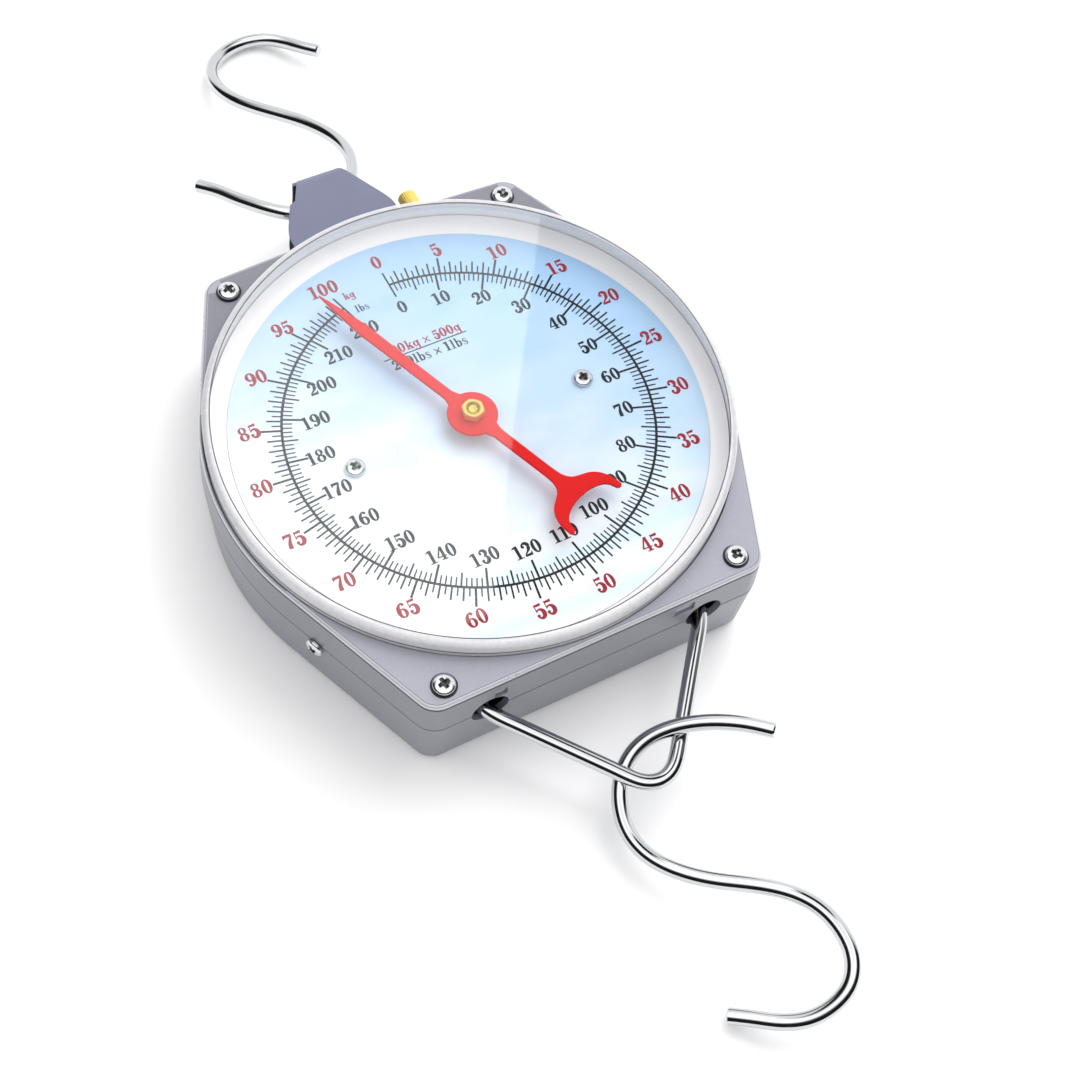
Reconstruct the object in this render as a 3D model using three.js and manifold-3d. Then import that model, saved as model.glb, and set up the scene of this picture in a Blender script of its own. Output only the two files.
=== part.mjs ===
// Dial hanging scale: two extension springs carry a load yoke whose rack turns
// the pointer arbor. Millimetres, +Z out of the dial, +Y towards the hanger,
// origin on the back face under the pointer axis.
import * as THREE from 'three';
import * as BufferGeometryUtils from 'three/addons/utils/BufferGeometryUtils.js';
import Module from 'manifold-3d';

const wasm = await Module();
wasm.setup();

// ---- driving dimensions -------------------------------------------------
const R_CASE = 103.8;        // round part of the case at the seam
const R_CORNER = 9.8;        // corner radius of the case
const CORNER_LOW = [62.6, -94.8];
const CORNER_TOP = [61.4, 91.0];
const Z_SEAM = 30;           // joint between the two shells
const Z_PLATE = 48;          // front face of the case
const WALL = 2.4;
const R_LENS = 101.4;        // clear cover, outside radius
const Z_LENS = 55.6;         // clear cover, top
const R_DIAL = 92;
const Z_DIAL = 43;           // printed face of the dial
const WIRE = 6;              // round bar of the hooks and the bail
const GAP = 0.3;             // clearance between neighbouring pieces
const SCREW_LOW = [60.4, -96.3];
const SCREW_TOP = [60.6, 91.4];
const DIAL_SCREW_X = 49.07;
const PITCH_R = 6;           // pinion pitch radius, module 1, 12 teeth
const TEETH = 12;
const X_SPRING = 30;
const Z_LOAD = 30;           // plane of the bail, springs and hanger
const SPRING_R = 6;          // mean coil radius
const SPRING_WIRE = 2.6;
const SPRING_TURNS = 22;
const Y_YOKE = -56;
const Y_BAR = 63;            // spring crossbar
const ZERO_X = 28.4;
const ZERO_Z = 38;
const POINTER_DEG = 21.8;    // rest direction, anticlockwise from +Y
const BAIL_HOLE_X = 45;
const BAIL_HOLE_R = 7.5;
const BAIL_TILT = 0.09;      // slope of the bail below the load plane
const Z_HANGER = 29.5;       // middle of the hanger strap
const SHEET = 1.4;
const HANGER_GAP = 8.8;

// ---- materials ----------------------------------------------------------
const mat = (hex, rough, metal, extra = {}) =>
  new THREE.MeshStandardMaterial({ color: hex, roughness: rough, metalness: metal, ...extra });
const PAINT = () => mat(0x9c9da8, 0.42, 0.3);
const CHROME = () => mat(0xd8dadb, 0.1, 1.0);
const STEEL = () => mat(0xa8a9ab, 0.35, 1.0);
const ZINC = () => mat(0xc4c6c8, 0.25, 1.0);
const BRASS = () => mat(0xd6b65c, 0.25, 1.0);
const RED = () => mat(0xe8261f, 0.4, 0.0);
const SPRING = () => mat(0x77797c, 0.35, 1.0);

// ---- solids -------------------------------------------------------------
function clean(g) {
  const c = g.index ? g.clone() : g;
  const b = new THREE.BufferGeometry();
  b.setAttribute('position', c.getAttribute('position').clone());
  if (c.index) b.setIndex(c.index.clone());
  return BufferGeometryUtils.mergeVertices(b, 1e-4);
}
function solid(g) {
  const m = clean(g);
  const p = m.getAttribute('position').array;
  const idx = Array.from(m.index.array);
  const tri = [];
  for (let i = 0; i < idx.length; i += 3) {
    const [a, b, c] = [idx[i], idx[i + 1], idx[i + 2]];
    if (a !== b && b !== c && a !== c) tri.push(a, b, c);
  }
  return new wasm.Manifold(new wasm.Mesh({
    numProp: 3, vertProperties: new Float32Array(p), triVerts: new Uint32Array(tri),
  }));
}
function geometryOf(man) {
  const m = man.getMesh();
  const n = m.numProp;
  const pos = new Float32Array((m.vertProperties.length / n) * 3);
  for (let i = 0; i < pos.length / 3; i++) {
    pos[3 * i] = m.vertProperties[n * i];
    pos[3 * i + 1] = m.vertProperties[n * i + 1];
    pos[3 * i + 2] = m.vertProperties[n * i + 2];
  }
  const g = new THREE.BufferGeometry();
  g.setAttribute('position', new THREE.BufferAttribute(pos, 3));
  g.setIndex(new THREE.BufferAttribute(new Uint32Array(m.triVerts), 1));
  return g;
}
const join = (...s) => s.reduce((a, b) => a.add(b));
const cut = (s, ...t) => t.reduce((a, b) => a.subtract(b), s);

const box = (x0, x1, y0, y1, z0, z1) =>
  new THREE.BoxGeometry(x1 - x0, y1 - y0, z1 - z0).translate((x0 + x1) / 2, (y0 + y1) / 2, (z0 + z1) / 2);
// cylinder along Z, Y or X through (a, b)
function cylZ(r, z0, z1, x = 0, y = 0, n = 24) {
  return new THREE.CylinderGeometry(r, r, z1 - z0, n).rotateX(Math.PI / 2).translate(x, y, (z0 + z1) / 2);
}
function cylY(r, y0, y1, x = 0, z = 0, n = 24) {
  return new THREE.CylinderGeometry(r, r, y1 - y0, n).translate(x, (y0 + y1) / 2, z);
}
function cylX(r, x0, x1, y = 0, z = 0, n = 16) {
  return new THREE.CylinderGeometry(r, r, x1 - x0, n).rotateZ(Math.PI / 2).translate((x0 + x1) / 2, y, z);
}
// body of revolution about Z: points are [radius, z], listed once around the section
function turned(points, n = 24) {
  const onAxis = points[0][0] === 0 && points[points.length - 1][0] === 0;
  const pts = points.map(([r, z]) => new THREE.Vector2(r, z));
  if (!onAxis) pts.push(pts[0].clone());
  return outward(new THREE.LatheGeometry(pts, n).rotateX(Math.PI / 2));
}
// faces pointing out, whatever way the section was listed
function outward(g) {
  const m = clean(g);
  const p = m.getAttribute('position');
  const ix = m.index.array;
  const a = new THREE.Vector3(), b = new THREE.Vector3(), c = new THREE.Vector3();
  let vol = 0;
  const keep = [];
  for (let i = 0; i < ix.length; i += 3) {
    if (ix[i] === ix[i + 1] || ix[i + 1] === ix[i + 2] || ix[i] === ix[i + 2]) continue;
    a.fromBufferAttribute(p, ix[i]); b.fromBufferAttribute(p, ix[i + 1]); c.fromBufferAttribute(p, ix[i + 2]);
    vol += a.dot(b.cross(c));
    keep.push(ix[i], ix[i + 1], ix[i + 2]);
  }
  if (vol < 0) for (let i = 0; i < keep.length; i += 3) [keep[i + 1], keep[i + 2]] = [keep[i + 2], keep[i + 1]];
  m.setIndex(keep);
  return m;
}
function prism(points, z0, z1, holes = []) {
  const s = new THREE.Shape(points.map(([x, y]) => new THREE.Vector2(x, y)));
  for (const [x, y, r, n = 20] of holes) {
    const h = [];
    for (let i = 0; i < n; i++) h.push(new THREE.Vector2(x + r * Math.cos(i / n * 2 * Math.PI), y + r * Math.sin(i / n * 2 * Math.PI)));
    s.holes.push(new THREE.Path(h));
  }
  return new THREE.ExtrudeGeometry(s, { depth: z1 - z0, bevelEnabled: false, steps: 1 }).translate(0, 0, z0);
}
// round bar along a smooth line
function bar(points, r, sides, steps) {
  const curve = new THREE.CatmullRomCurve3(points.map((p) => new THREE.Vector3(...p)), false, 'centripetal');
  const s = new THREE.Shape();
  for (let i = 0; i < sides; i++) {
    const a = (i / sides) * 2 * Math.PI;
    if (i === 0) s.moveTo(r, 0); else s.lineTo(r * Math.cos(a), r * Math.sin(a));
  }
  s.closePath();
  return outward(new THREE.ExtrudeGeometry(s, { steps, bevelEnabled: false, extrudePath: curve }));
}

// ---- case outline: hull of the round body and its four corners ----------
const CIRCLES = [
  [0, 0, R_CASE],
  [CORNER_LOW[0], CORNER_LOW[1], R_CORNER], [-CORNER_LOW[0], CORNER_LOW[1], R_CORNER],
  [CORNER_TOP[0], CORNER_TOP[1], R_CORNER], [-CORNER_TOP[0], CORNER_TOP[1], R_CORNER],
];
function outline(offset, n = 60) {
  const pts = [];
  let last = -1;
  const best = (a) => {
    let k = 0, v = -1e9;
    CIRCLES.forEach(([x, y, r], i) => { const s = x * Math.cos(a) + y * Math.sin(a) + r; if (s > v + 1e-9) { v = s; k = i; } });
    return k;
  };
  for (let i = 0; i < n; i++) {
    const a = (i / n) * 2 * Math.PI;
    const k = best(a);
    if (last >= 0 && k !== last) {
      // direction at which the hull passes from one circle to the next
      let lo = ((i - 1) / n) * 2 * Math.PI, hi = a;
      for (let t = 0; t < 40; t++) { const m = (lo + hi) / 2; if (best(m) === last) lo = m; else hi = m; }
      for (const j of [last, k]) {
        const [x, y, r] = CIRCLES[j];
        pts.push([x + (r - offset) * Math.cos(lo), y + (r - offset) * Math.sin(lo)]);
      }
    }
    const [x, y, r] = CIRCLES[k];
    pts.push([x + (r - offset) * Math.cos(a), y + (r - offset) * Math.sin(a)]);
    last = k;
  }
  return pts;
}
// closed solid through outlines of growing height: levels are [z, offset]
function stacked(levels) {
  const rings = levels.map(([z, o]) => outline(o).map(([x, y]) => [x, y, z]));
  const n = rings[0].length;
  const pos = rings.flat(2);
  const idx = [];
  for (let k = 0; k + 1 < rings.length; k++) {
    for (let i = 0; i < n; i++) {
      const a = k * n + i, b = k * n + (i + 1) % n, c = a + n, d = b + n;
      idx.push(a, b, d, a, d, c);
    }
  }
  const top = (rings.length - 1) * n;
  for (let i = 1; i + 1 < n; i++) {
    idx.push(0, i + 1, i);
    idx.push(top, top + i, top + i + 1);
  }
  const g = new THREE.BufferGeometry();
  g.setAttribute('position', new THREE.Float32BufferAttribute(pos, 3));
  g.setIndex(idx);
  return outward(g);
}

const root = new THREE.Group();
function add(name, geometry, material, parent = root, place = null) {
  const g = geometry.index ? geometry : clean(geometry);
  g.computeVertexNormals();
  const m = new THREE.Mesh(g, material);
  m.name = name;
  if (place) m.position.set(...place);
  parent.add(m);
  return m;
}

// ---- case ---------------------------------------------------------------
const caseScrews = [
  ['case_screw_low_right', SCREW_LOW[0], SCREW_LOW[1]], ['case_screw_low_left', -SCREW_LOW[0], SCREW_LOW[1]],
  ['case_screw_top_right', SCREW_TOP[0], SCREW_TOP[1]], ['case_screw_top_left', -SCREW_TOP[0], SCREW_TOP[1]],
];
const frameScrews = [['frame_screw_1', 32, 72], ['frame_screw_2', -32, 72], ['frame_screw_3', 38, -40], ['frame_screw_4', -38, -40]];
const sideNormal = [0.9245, -0.381];
const sideAt = [90.0, -53.9];
const bailHoles = [-1, 1].map((s) => solid(cylY(BAIL_HOLE_R, -110, -97, s * BAIL_HOLE_X, Z_LOAD, 20)));
const hangerSlot = solid(box(-24.5, 24.5, 96, 110, Z_HANGER - 6.2, Z_HANGER + 6.2));
const sideHole = (s) => {
  const a = Math.atan2(sideNormal[1], s * sideNormal[0]);
  return solid(new THREE.CylinderGeometry(1.9, 1.9, 16, 10).rotateZ(Math.PI / 2).rotateZ(a).translate(s * sideAt[0], sideAt[1], 27.6));
};

{
  let s = solid(stacked([[0, 5.4], [0.7, 3.6], [2.2, 2.3], [4.6, 1.55], [Z_SEAM - 0.15, 0]]));
  s = s.subtract(solid(stacked([[2.4, 6.6], [5.2, 4.1], [Z_SEAM + 1, WALL]])));
  for (const [, x, y] of caseScrews) s = s.add(solid(cylZ(4.6, 2, Z_SEAM - 0.15, x, y, 10)));
  for (const [, x, y] of frameScrews) s = s.add(solid(cylZ(4.4, 2, 9.7, x, y, 10)));
  for (const [, x, y] of caseScrews) s = s.subtract(solid(cylZ(2.4, 13, 40, x, y, 8)));
  for (const [, x, y] of frameScrews) s = s.subtract(solid(cylZ(2.0, 4.2, 20, x, y, 8)));
  s = cut(s, ...bailHoles, hangerSlot, sideHole(1), sideHole(-1));
  add('back_shell', geometryOf(s), PAINT());
}
{
  let s = solid(stacked([[Z_SEAM + 0.15, 0], [45.8, 0.7], [47.2, 1.0], [47.8, 1.6], [Z_PLATE, 2.4]]));
  s = s.subtract(solid(stacked([[Z_SEAM - 1, WALL], [45.6, WALL + 0.7]])));
  for (const [, x, y] of caseScrews) s = s.add(solid(cylZ(4.6, Z_SEAM + 0.15, 46, x, y, 10)));
  s = s.add(solid(turned([[94, 38.6], [102.3, 38.6], [102.3, 40.4], [94, 40.4]], 60)));
  s = s.subtract(solid(cylZ(R_LENS + 0.35, 40.4, 60, 0, 0, 60)));
  for (const [, x, y] of caseScrews) s = s.subtract(solid(cylZ(2.4, 20, 60, x, y, 8)));
  s = cut(s, ...bailHoles, hangerSlot, solid(cylY(2.7, 84, 112, ZERO_X, ZERO_Z, 12)));
  add('front_shell', geometryOf(s), PAINT());
}
for (const [name, x, y] of caseScrews) {
  const g = turned([[0, 0], [2.0, 0], [2.0, 33.8], [4.2, 33.8], [4.2, 35.0], [3.4, 36.0], [0, 36.3]], 12);
  add(name, g, ZINC(), root, [x, y, Z_PLATE + GAP - 33.8]);
}
for (const s of [-1, 1]) {
  const a = Math.atan2(sideNormal[1], s * sideNormal[0]);
  const g = turned([[0, -8], [1.5, -8], [1.5, 0.25], [3.7, 0.25], [3.7, 1.2], [2.9, 2.1], [0, 2.4]], 12);
  const m = add(s > 0 ? 'side_screw_right' : 'side_screw_left', g, ZINC(), root, [s * (sideAt[0] + 0.13 * sideNormal[0]), sideAt[1] + 0.13 * sideNormal[1], 27.6]);
  m.rotation.set(0, Math.PI / 2, 0);
  m.rotation.order = 'ZYX';
  m.rotation.z = a;
}
// clear cover, and the pale ring it stands on
add('cover_lens', turned([[0, Z_LENS], [99.7, Z_LENS], [100.9, Z_LENS - 0.4], [R_LENS, Z_LENS - 1.7], [R_LENS, 44.0],
  [R_LENS - 1.6, 44.0], [R_LENS - 1.6, Z_LENS - 2.2], [R_LENS - 2.1, Z_LENS - 1.6], [0, Z_LENS - 1.6]], 60),
  mat(0xf4f7f8, 0.05, 0.0, { transparent: true, opacity: 0.2 }));
add('dial_surround', turned([[92.8, 40.7], [101.2, 40.7], [101.2, 43.7], [99.2, 43.7], [99.2, 46.8], [92.8, 42.6]], 48),
  mat(0xdad6d3, 0.5, 0.0));

// ---- dial ---------------------------------------------------------------
const round = (r, n) => Array.from({ length: n }, (_, i) => [r * Math.cos(i / n * 2 * Math.PI), r * Math.sin(i / n * 2 * Math.PI)]);
add('dial_plate', prism(round(R_DIAL, 60), Z_DIAL - 0.8, Z_DIAL, [[0, 0, 5.2, 16], [DIAL_SCREW_X, 0, 1.9, 12], [-DIAL_SCREW_X, 0, 1.9, 12]]), mat(0xcfe6f6, 0.45, 0.0));
for (const [tag, s] of [['right', 1], ['left', -1]]) {
  add('dial_post_' + tag, turned([[1.9, 40.1], [3.6, 40.1], [3.6, 41.9], [1.9, 41.9]], 8), STEEL(), root, [s * DIAL_SCREW_X, 0, 0]);
  add('dial_screw_' + tag, turned([[0, 35], [1.5, 35], [1.5, Z_DIAL + GAP], [3.9, Z_DIAL + GAP], [3.9, Z_DIAL + 1.3], [3.1, Z_DIAL + 2.2], [0, Z_DIAL + 2.6]], 12), ZINC(), root, [s * DIAL_SCREW_X, 0, 0]);
}

// ---- mechanism frame ----------------------------------------------------
add('frame_rear', prism([[-50, -46], [50, -46], [50, 62], [30, 98], [-30, 98], [-50, 62]], 10, 12.5,
  [[0, 0, 4.5, 16], [32, 72, 1.9, 12], [-32, 72, 1.9, 12], [38, -40, 1.9, 12], [-38, -40, 1.9, 12], [14, 90, 2.8, 14], [-14, 90, 2.8, 14]]), STEEL());
add('frame_front', prism([[-54, -44], [54, -44], [54, 50], [-54, 50]], 38.2, 39.8,
  [[0, 0, 4.5, 16], [DIAL_SCREW_X, 0, 1.9, 12], [-DIAL_SCREW_X, 0, 1.9, 12]]), STEEL());
[[46, 40], [-46, 40], [46, -36], [-46, -36]].forEach(([x, y], i) => add('frame_pillar_' + (i + 1), cylZ(3.2, 12.8, 37.9, 0, 0, 8), STEEL(), root, [x, y, 0]));
for (const [name, x, y] of frameScrews) add(name, turned([[0, 4.8], [1.6, 4.8], [1.6, 12.8], [3.3, 12.8], [3.3, 14.2], [2.2, 15.0], [0, 15.2]], 8), ZINC(), root, [x, y, 0]);
add('rear_bush', turned([[2.3, 8.8], [4.2, 8.8], [4.2, 12.8], [6, 12.8], [6, 14], [2.3, 14]], 10), BRASS());
add('front_bush', turned([[2.3, 36.6], [6, 36.6], [6, 37.9], [4.2, 37.9], [4.2, 41], [2.3, 41]], 10), BRASS());
add('rack_guide', geometryOf(join(solid(box(12.4, 20, -9, 9, 12.8, 35)), solid(box(8.6, 13, -9, 9, 12.8, 26)))), mat(0xe8e4da, 0.5, 0.0));

// ---- pointer, arbor and pinion ------------------------------------------
const arborGroup = new THREE.Group();
root.add(arborGroup);
add('arbor', turned([[0, 8.4], [2.0, 8.4], [2.0, 52.4], [1.5, 52.9], [0, 53.0]], 10), STEEL(), arborGroup);
function pinionOutline() {
  const pa = 20 * Math.PI / 180, rb = PITCH_R * Math.cos(pa), ro = 6.9, rr = 4.9;
  const inv = (a) => Math.tan(a) - a;
  const half = (1.5708 - 0.2) / 2 / PITCH_R + inv(pa);   // half tooth angle at the base circle
  const pts = [];
  for (let t = 0; t < TEETH; t++) {
    const c = (t / TEETH) * 2 * Math.PI;
    const side = [];
    for (const r of [rb, 5.95, 6.4, ro]) {
      const a = Math.acos(rb / Math.max(r, rb));
      side.push([r, half - inv(a)]);
    }
    pts.push([rr, c - half - 0.02]);
    for (const [r, a] of side) pts.push([r, c - a]);
    for (const [r, a] of side.slice().reverse()) pts.push([r, c + a]);
    pts.push([rr, c + half + 0.02]);
  }
  return pts.map(([r, a]) => [r * Math.cos(a), r * Math.sin(a)]);
}
add('pinion', prism(pinionOutline(), 26.4, 34, [[0, 0, 2.3, 14]]), BRASS(), arborGroup);
add('pointer_collar', turned([[2.3, 44.6], [4.2, 44.6], [4.2, 46.4], [5.6, 46.9], [5.6, 48.2], [2.3, 48.2]], 12), BRASS(), arborGroup);
{
  // spear blade, round hub, and a tail that ends in a crescent
  const right = [[0, 80.6], [0.9, 74], [2.5, 57], [2.3, 50], [2.15, 30], [2.1, 12.5], [3.2, 10.2]];
  for (let i = 1; i < 10; i++) { const a = (70 - i * 15) * Math.PI / 180; right.push([9.8 * Math.cos(a), 9.8 * Math.sin(a)]); }
  right.push([3.0, -10.6], [2.1, -13.5], [2.1, -38], [3.2, -44.5], [7.0, -47.5], [11.5, -50.2], [14.0, -54.5], [14.6, -60.6],
    [12.9, -61.4], [10.6, -57.2], [6.5, -54.2], [2.4, -53.0], [0, -52.6]);
  const left = right.slice(1, -1).reverse().map(([x, y]) => [-x, y]);
  const c = Math.cos(POINTER_DEG * Math.PI / 180), s = Math.sin(POINTER_DEG * Math.PI / 180);
  const g = prism([...right, ...left].reverse(), 48.5, 50.0, [[0, 0, 2.3, 16]]);
  const m = add('pointer', g, RED(), arborGroup);
  m.rotation.z = Math.atan2(s, c);
}
add('pointer_nut', geometryOf(solid(turned([[2.75, 50.3], [4.62, 50.3], [4.62, 52.6], [3.9, 53.4], [2.75, 53.4]], 6))), BRASS(), arborGroup);

// ---- load yoke with rack ------------------------------------------------
const yokeGroup = new THREE.Group();
root.add(yokeGroup);
add('load_yoke', geometryOf(cut(solid(box(-41, 41, Y_YOKE - 5, Y_YOKE + 5, Z_LOAD - 5, Z_LOAD + 5)),
  solid(cylX(3.5, 35, 50, Y_YOKE, Z_LOAD, 16)), solid(cylX(3.5, -50, -35, Y_YOKE, Z_LOAD, 16)),
  solid(cylY(1.8, Y_YOKE - 3, Y_YOKE + 8, X_SPRING, Z_LOAD, 12)), solid(cylY(1.8, Y_YOKE - 3, Y_YOKE + 8, -X_SPRING, Z_LOAD, 12)),
  solid(cylY(1.8, Y_YOKE - 8, Y_YOKE + 8, 9.8, 30.2, 12)))), STEEL(), yokeGroup);
{
  const pts = [[12.1, -50.7], [12.1, 46], [7.3, 46]];
  const p = Math.PI, t = (1.5708 - 0.2) / 2, tan = Math.tan(20 * Math.PI / 180);
  const xr = 7.3, xt = 5.3;
  for (let k = 13; k >= -2; k--) {
    const y = p / 2 + k * p;
    const atRoot = t + (xr - PITCH_R) * tan, atTip = t - (PITCH_R - xt) * tan;
    pts.push([xr, y + atRoot], [xt, y + atTip], [xt, y - atTip], [xr, y - atRoot]);
  }
  pts.push([7.3, -50.7]);
  const g = geometryOf(cut(solid(outward(prism(pts, 27.2, 33.2))), solid(cylY(1.8, -60, -40, 9.8, 30.2, 12))));
  add('rack', g, STEEL(), yokeGroup);
}
{
  const g = turned([[0, 0], [1.4, 0], [1.4, 20.3], [3.0, 20.3], [3.0, 21.5], [0, 21.7]], 12).rotateX(Math.PI / 2);
  add('rack_screw', g, ZINC(), yokeGroup, [9.8, -41, 30.2]);
}
const plug = () => turned([[0, -7], [1.5, -7], [1.5, 0], [6.4, 0], [6.4, 6.5], [3.6, 6.9], [3.6, 15.5], [2.9, 16.4], [0, 16.4]], 10);
for (const [tag, s] of [['right', 1], ['left', -1]]) {
  add('spring_plug_lower_' + tag, plug().rotateX(-Math.PI / 2), STEEL(), yokeGroup, [s * X_SPRING, Y_YOKE + 5.3, Z_LOAD]);
}
// ---- spring crossbar and zero adjuster ----------------------------------
const barGroup = new THREE.Group();
root.add(barGroup);
add('spring_crossbar', geometryOf(cut(solid(box(-43, 43, Y_BAR - 3, Y_BAR + 3, 25, 41)),
  solid(cylY(1.8, Y_BAR - 8, Y_BAR + 8, X_SPRING, Z_LOAD, 12)), solid(cylY(1.8, Y_BAR - 8, Y_BAR + 8, -X_SPRING, Z_LOAD, 12)),
  solid(cylY(2.3, Y_BAR - 8, Y_BAR + 8, ZERO_X, ZERO_Z, 14)))), STEEL(), barGroup);
for (const [tag, s] of [['right', 1], ['left', -1]]) {
  const g = turned([[0, -5], [1.5, -5], [1.5, 0], [6.4, 0], [6.4, 6.5], [3.6, 6.9], [3.6, 15.5], [2.9, 16.4], [0, 16.4]], 10).rotateX(Math.PI / 2);
  add('spring_plug_upper_' + tag, g, STEEL(), barGroup, [s * X_SPRING, Y_BAR - 3.3, Z_LOAD]);
}
{
  const g = turned([[0, 0], [2.0, 0], [2.0, 42.2], [3.0, 42.2], [3.0, 43.6], [4.0, 44.4], [4.0, 53.6], [3.3, 54.4], [0, 54.4]], 14).rotateX(-Math.PI / 2);
  add('zero_adjust_screw', g, BRASS(), root, [ZERO_X, 61.0, ZERO_Z]);
}
// ---- springs ------------------------------------------------------------
class Helix extends THREE.Curve {
  constructor(r, y0, y1, turns) { super(); Object.assign(this, { r, y0, y1, turns }); }
  getPoint(t, v = new THREE.Vector3()) {
    const a = t * this.turns * 2 * Math.PI;
    return v.set(this.r * Math.cos(a), this.y0 + (this.y1 - this.y0) * t, this.r * Math.sin(a));
  }
}
function coil() {
  const y0 = Y_YOKE + 5.3 + 6.9 + 1.6, y1 = Y_BAR - 3.3 - 6.9 - 1.6;
  const curve = new Helix(SPRING_R, y0, y1, SPRING_TURNS);
  const sides = 4, steps = SPRING_TURNS * 6, r = SPRING_WIRE / 2;
  const pos = [], idx = [];
  const up = new THREE.Vector3(0, 1, 0), o = new THREE.Vector3(), tan = new THREE.Vector3(), rad = new THREE.Vector3(), bin = new THREE.Vector3();
  for (let i = 0; i <= steps; i++) {
    const t = i / steps, a = t * SPRING_TURNS * 2 * Math.PI;
    curve.getPoint(t, o);
    rad.set(Math.cos(a), 0, Math.sin(a));
    tan.set(-Math.sin(a) * SPRING_R, (y1 - y0) / (SPRING_TURNS * 2 * Math.PI), Math.cos(a) * SPRING_R).normalize();
    bin.crossVectors(rad, tan).normalize();
    for (let k = 0; k < sides; k++) {
      const b = (k / sides) * 2 * Math.PI;
      pos.push(o.x + r * (Math.cos(b) * rad.x + Math.sin(b) * bin.x), o.y + r * (Math.cos(b) * rad.y + Math.sin(b) * bin.y), o.z + r * (Math.cos(b) * rad.z + Math.sin(b) * bin.z));
    }
  }
  for (let i = 0; i < steps; i++) for (let k = 0; k < sides; k++) {
    const a = i * sides + k, b = i * sides + (k + 1) % sides, c = a + sides, d = b + sides;
    idx.push(a, b, d, a, d, c);
  }
  const e = steps * sides;
  for (let k = 1; k + 1 < sides; k++) { idx.push(0, k + 1, k); idx.push(e, e + k, e + k + 1); }
  const g = new THREE.BufferGeometry();
  g.setAttribute('position', new THREE.Float32BufferAttribute(pos, 3));
  g.setIndex(idx);
  return outward(g);
}
add('spring_right', coil(), SPRING(), root, [X_SPRING, 0, Z_LOAD]);
add('spring_left', coil(), SPRING(), root, [-X_SPRING, 0, Z_LOAD]);

// ---- hanger -------------------------------------------------------------
const SIDE = [[-9.75, 145.6], [-23.9, 118.4], [-23.9, 80], [23.9, 80], [23.9, 118.4], [9.75, 145.6]];
{
  const yc = 145.6 - SHEET - HANGER_GAP / 2, h = HANGER_GAP / 2;
  const tube = cut(solid(cylX(h + SHEET, -20, 20, yc, Z_HANGER, 20)), solid(cylX(h, -30, 30, yc, Z_HANGER, 20)), solid(box(-30, 30, yc - 20, yc, Z_HANGER - 20, Z_HANGER + 20)));
  const front = solid(box(-30, 30, 80, yc, Z_HANGER + h, Z_HANGER + h + SHEET));
  const back = solid(box(-30, 30, 80, yc, Z_HANGER - h - SHEET, Z_HANGER - h));
  let s = join(tube, front, back).intersect(solid(outward(prism(SIDE.slice().reverse(), 0, 60))));
  s = cut(s, solid(cylZ(2.8, 0, 60, 14, 90, 14)), solid(cylZ(2.8, 0, 60, -14, 90, 14)));
  add('hanger_bracket', geometryOf(s), mat(0x878aa0, 0.45, 0.2));
}
add('hanger_block', geometryOf(cut(solid(box(-22, 22, 80.5, 99, Z_HANGER - 4.1, Z_HANGER + 4.1)), solid(cylZ(2.8, 0, 60, 14, 90, 14)), solid(cylZ(2.8, 0, 60, -14, 90, 14)))), STEEL());
for (const [tag, s] of [['right', 1], ['left', -1]]) {
  add('hanger_bolt_' + tag, turned([[0, 6.2], [2.5, 6.2], [2.5, 35.6], [4.6, 35.6], [4.6, 38.2], [0, 38.2]], 8), ZINC(), root, [s * 14, 90, 0]);
  add('hanger_nut_' + tag, turned([[3.1, 6.6], [4.9, 6.6], [4.9, 9.7], [3.1, 9.7]], 6), ZINC(), root, [s * 14, 90, 0]);
  add('hanger_spacer_' + tag, turned([[3.0, 12.8], [4.8, 12.8], [4.8, 23.4], [3.0, 23.4]], 8), STEEL(), root, [s * 14, 90, 0]);
}

// ---- bail and hooks: round bar ------------------------------------------
const R = WIRE / 2;
const bailZ = (y) => Z_LOAD + BAIL_TILT * (y - Y_YOKE);
{
  const half = [[36.5, -56], [40, -56], [43.4, -56.3], [45.9, -58.0], [47.0, -61], [47.2, -66], [47.2, -74], [47.2, -84], [47.2, -92], [46.9, -97.5], [45.3, -102.5],
    [42.4, -107.2], [37, -113.9], [29.6, -123], [21, -133.6], [14.5, -141.6], [10.5, -146.6], [6.6, -150.6], [2.2, -152.7]];
  const pts = [...half.map(([x, y]) => [-x, y]), ...half.slice().reverse()];
  add('bail', bar(pts.map(([x, y]) => [x, y, bailZ(y)]), R, 8, 58), CHROME());
}
const lowPlane = (x, y) => 3.35 + 0.5 * (x + 17.4) + 0.1 * (y + 234);
{
  const pts = [[40.3, -160.1], [34.1, -153.4], [27.2, -147.5], [19.7, -142.6], [11.7, -139.1], [3.3, -137.6], [-4.9, -139.4], [-11.5, -145.0], [-15.7, -152.9], [-17.4, -162.1], [-15.8, -171.4], [-11.6, -179.7], [-5.9, -187.0], [0.6, -193.4], [7.6, -199.2], [14.4, -205.2], [20.5, -212.1], [24.9, -220.3], [26.8, -229.6], [25.9, -238.9], [21.1, -246.3], [13.3, -249.4], [4.9, -249.0], [-3.0, -245.2], [-10.1, -239.5], [-17.1, -234.0]];
  add('lower_hook', bar(pts.map(([x, y]) => [x, y, lowPlane(x, y)]), R, 8, 46), CHROME());
}
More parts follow.
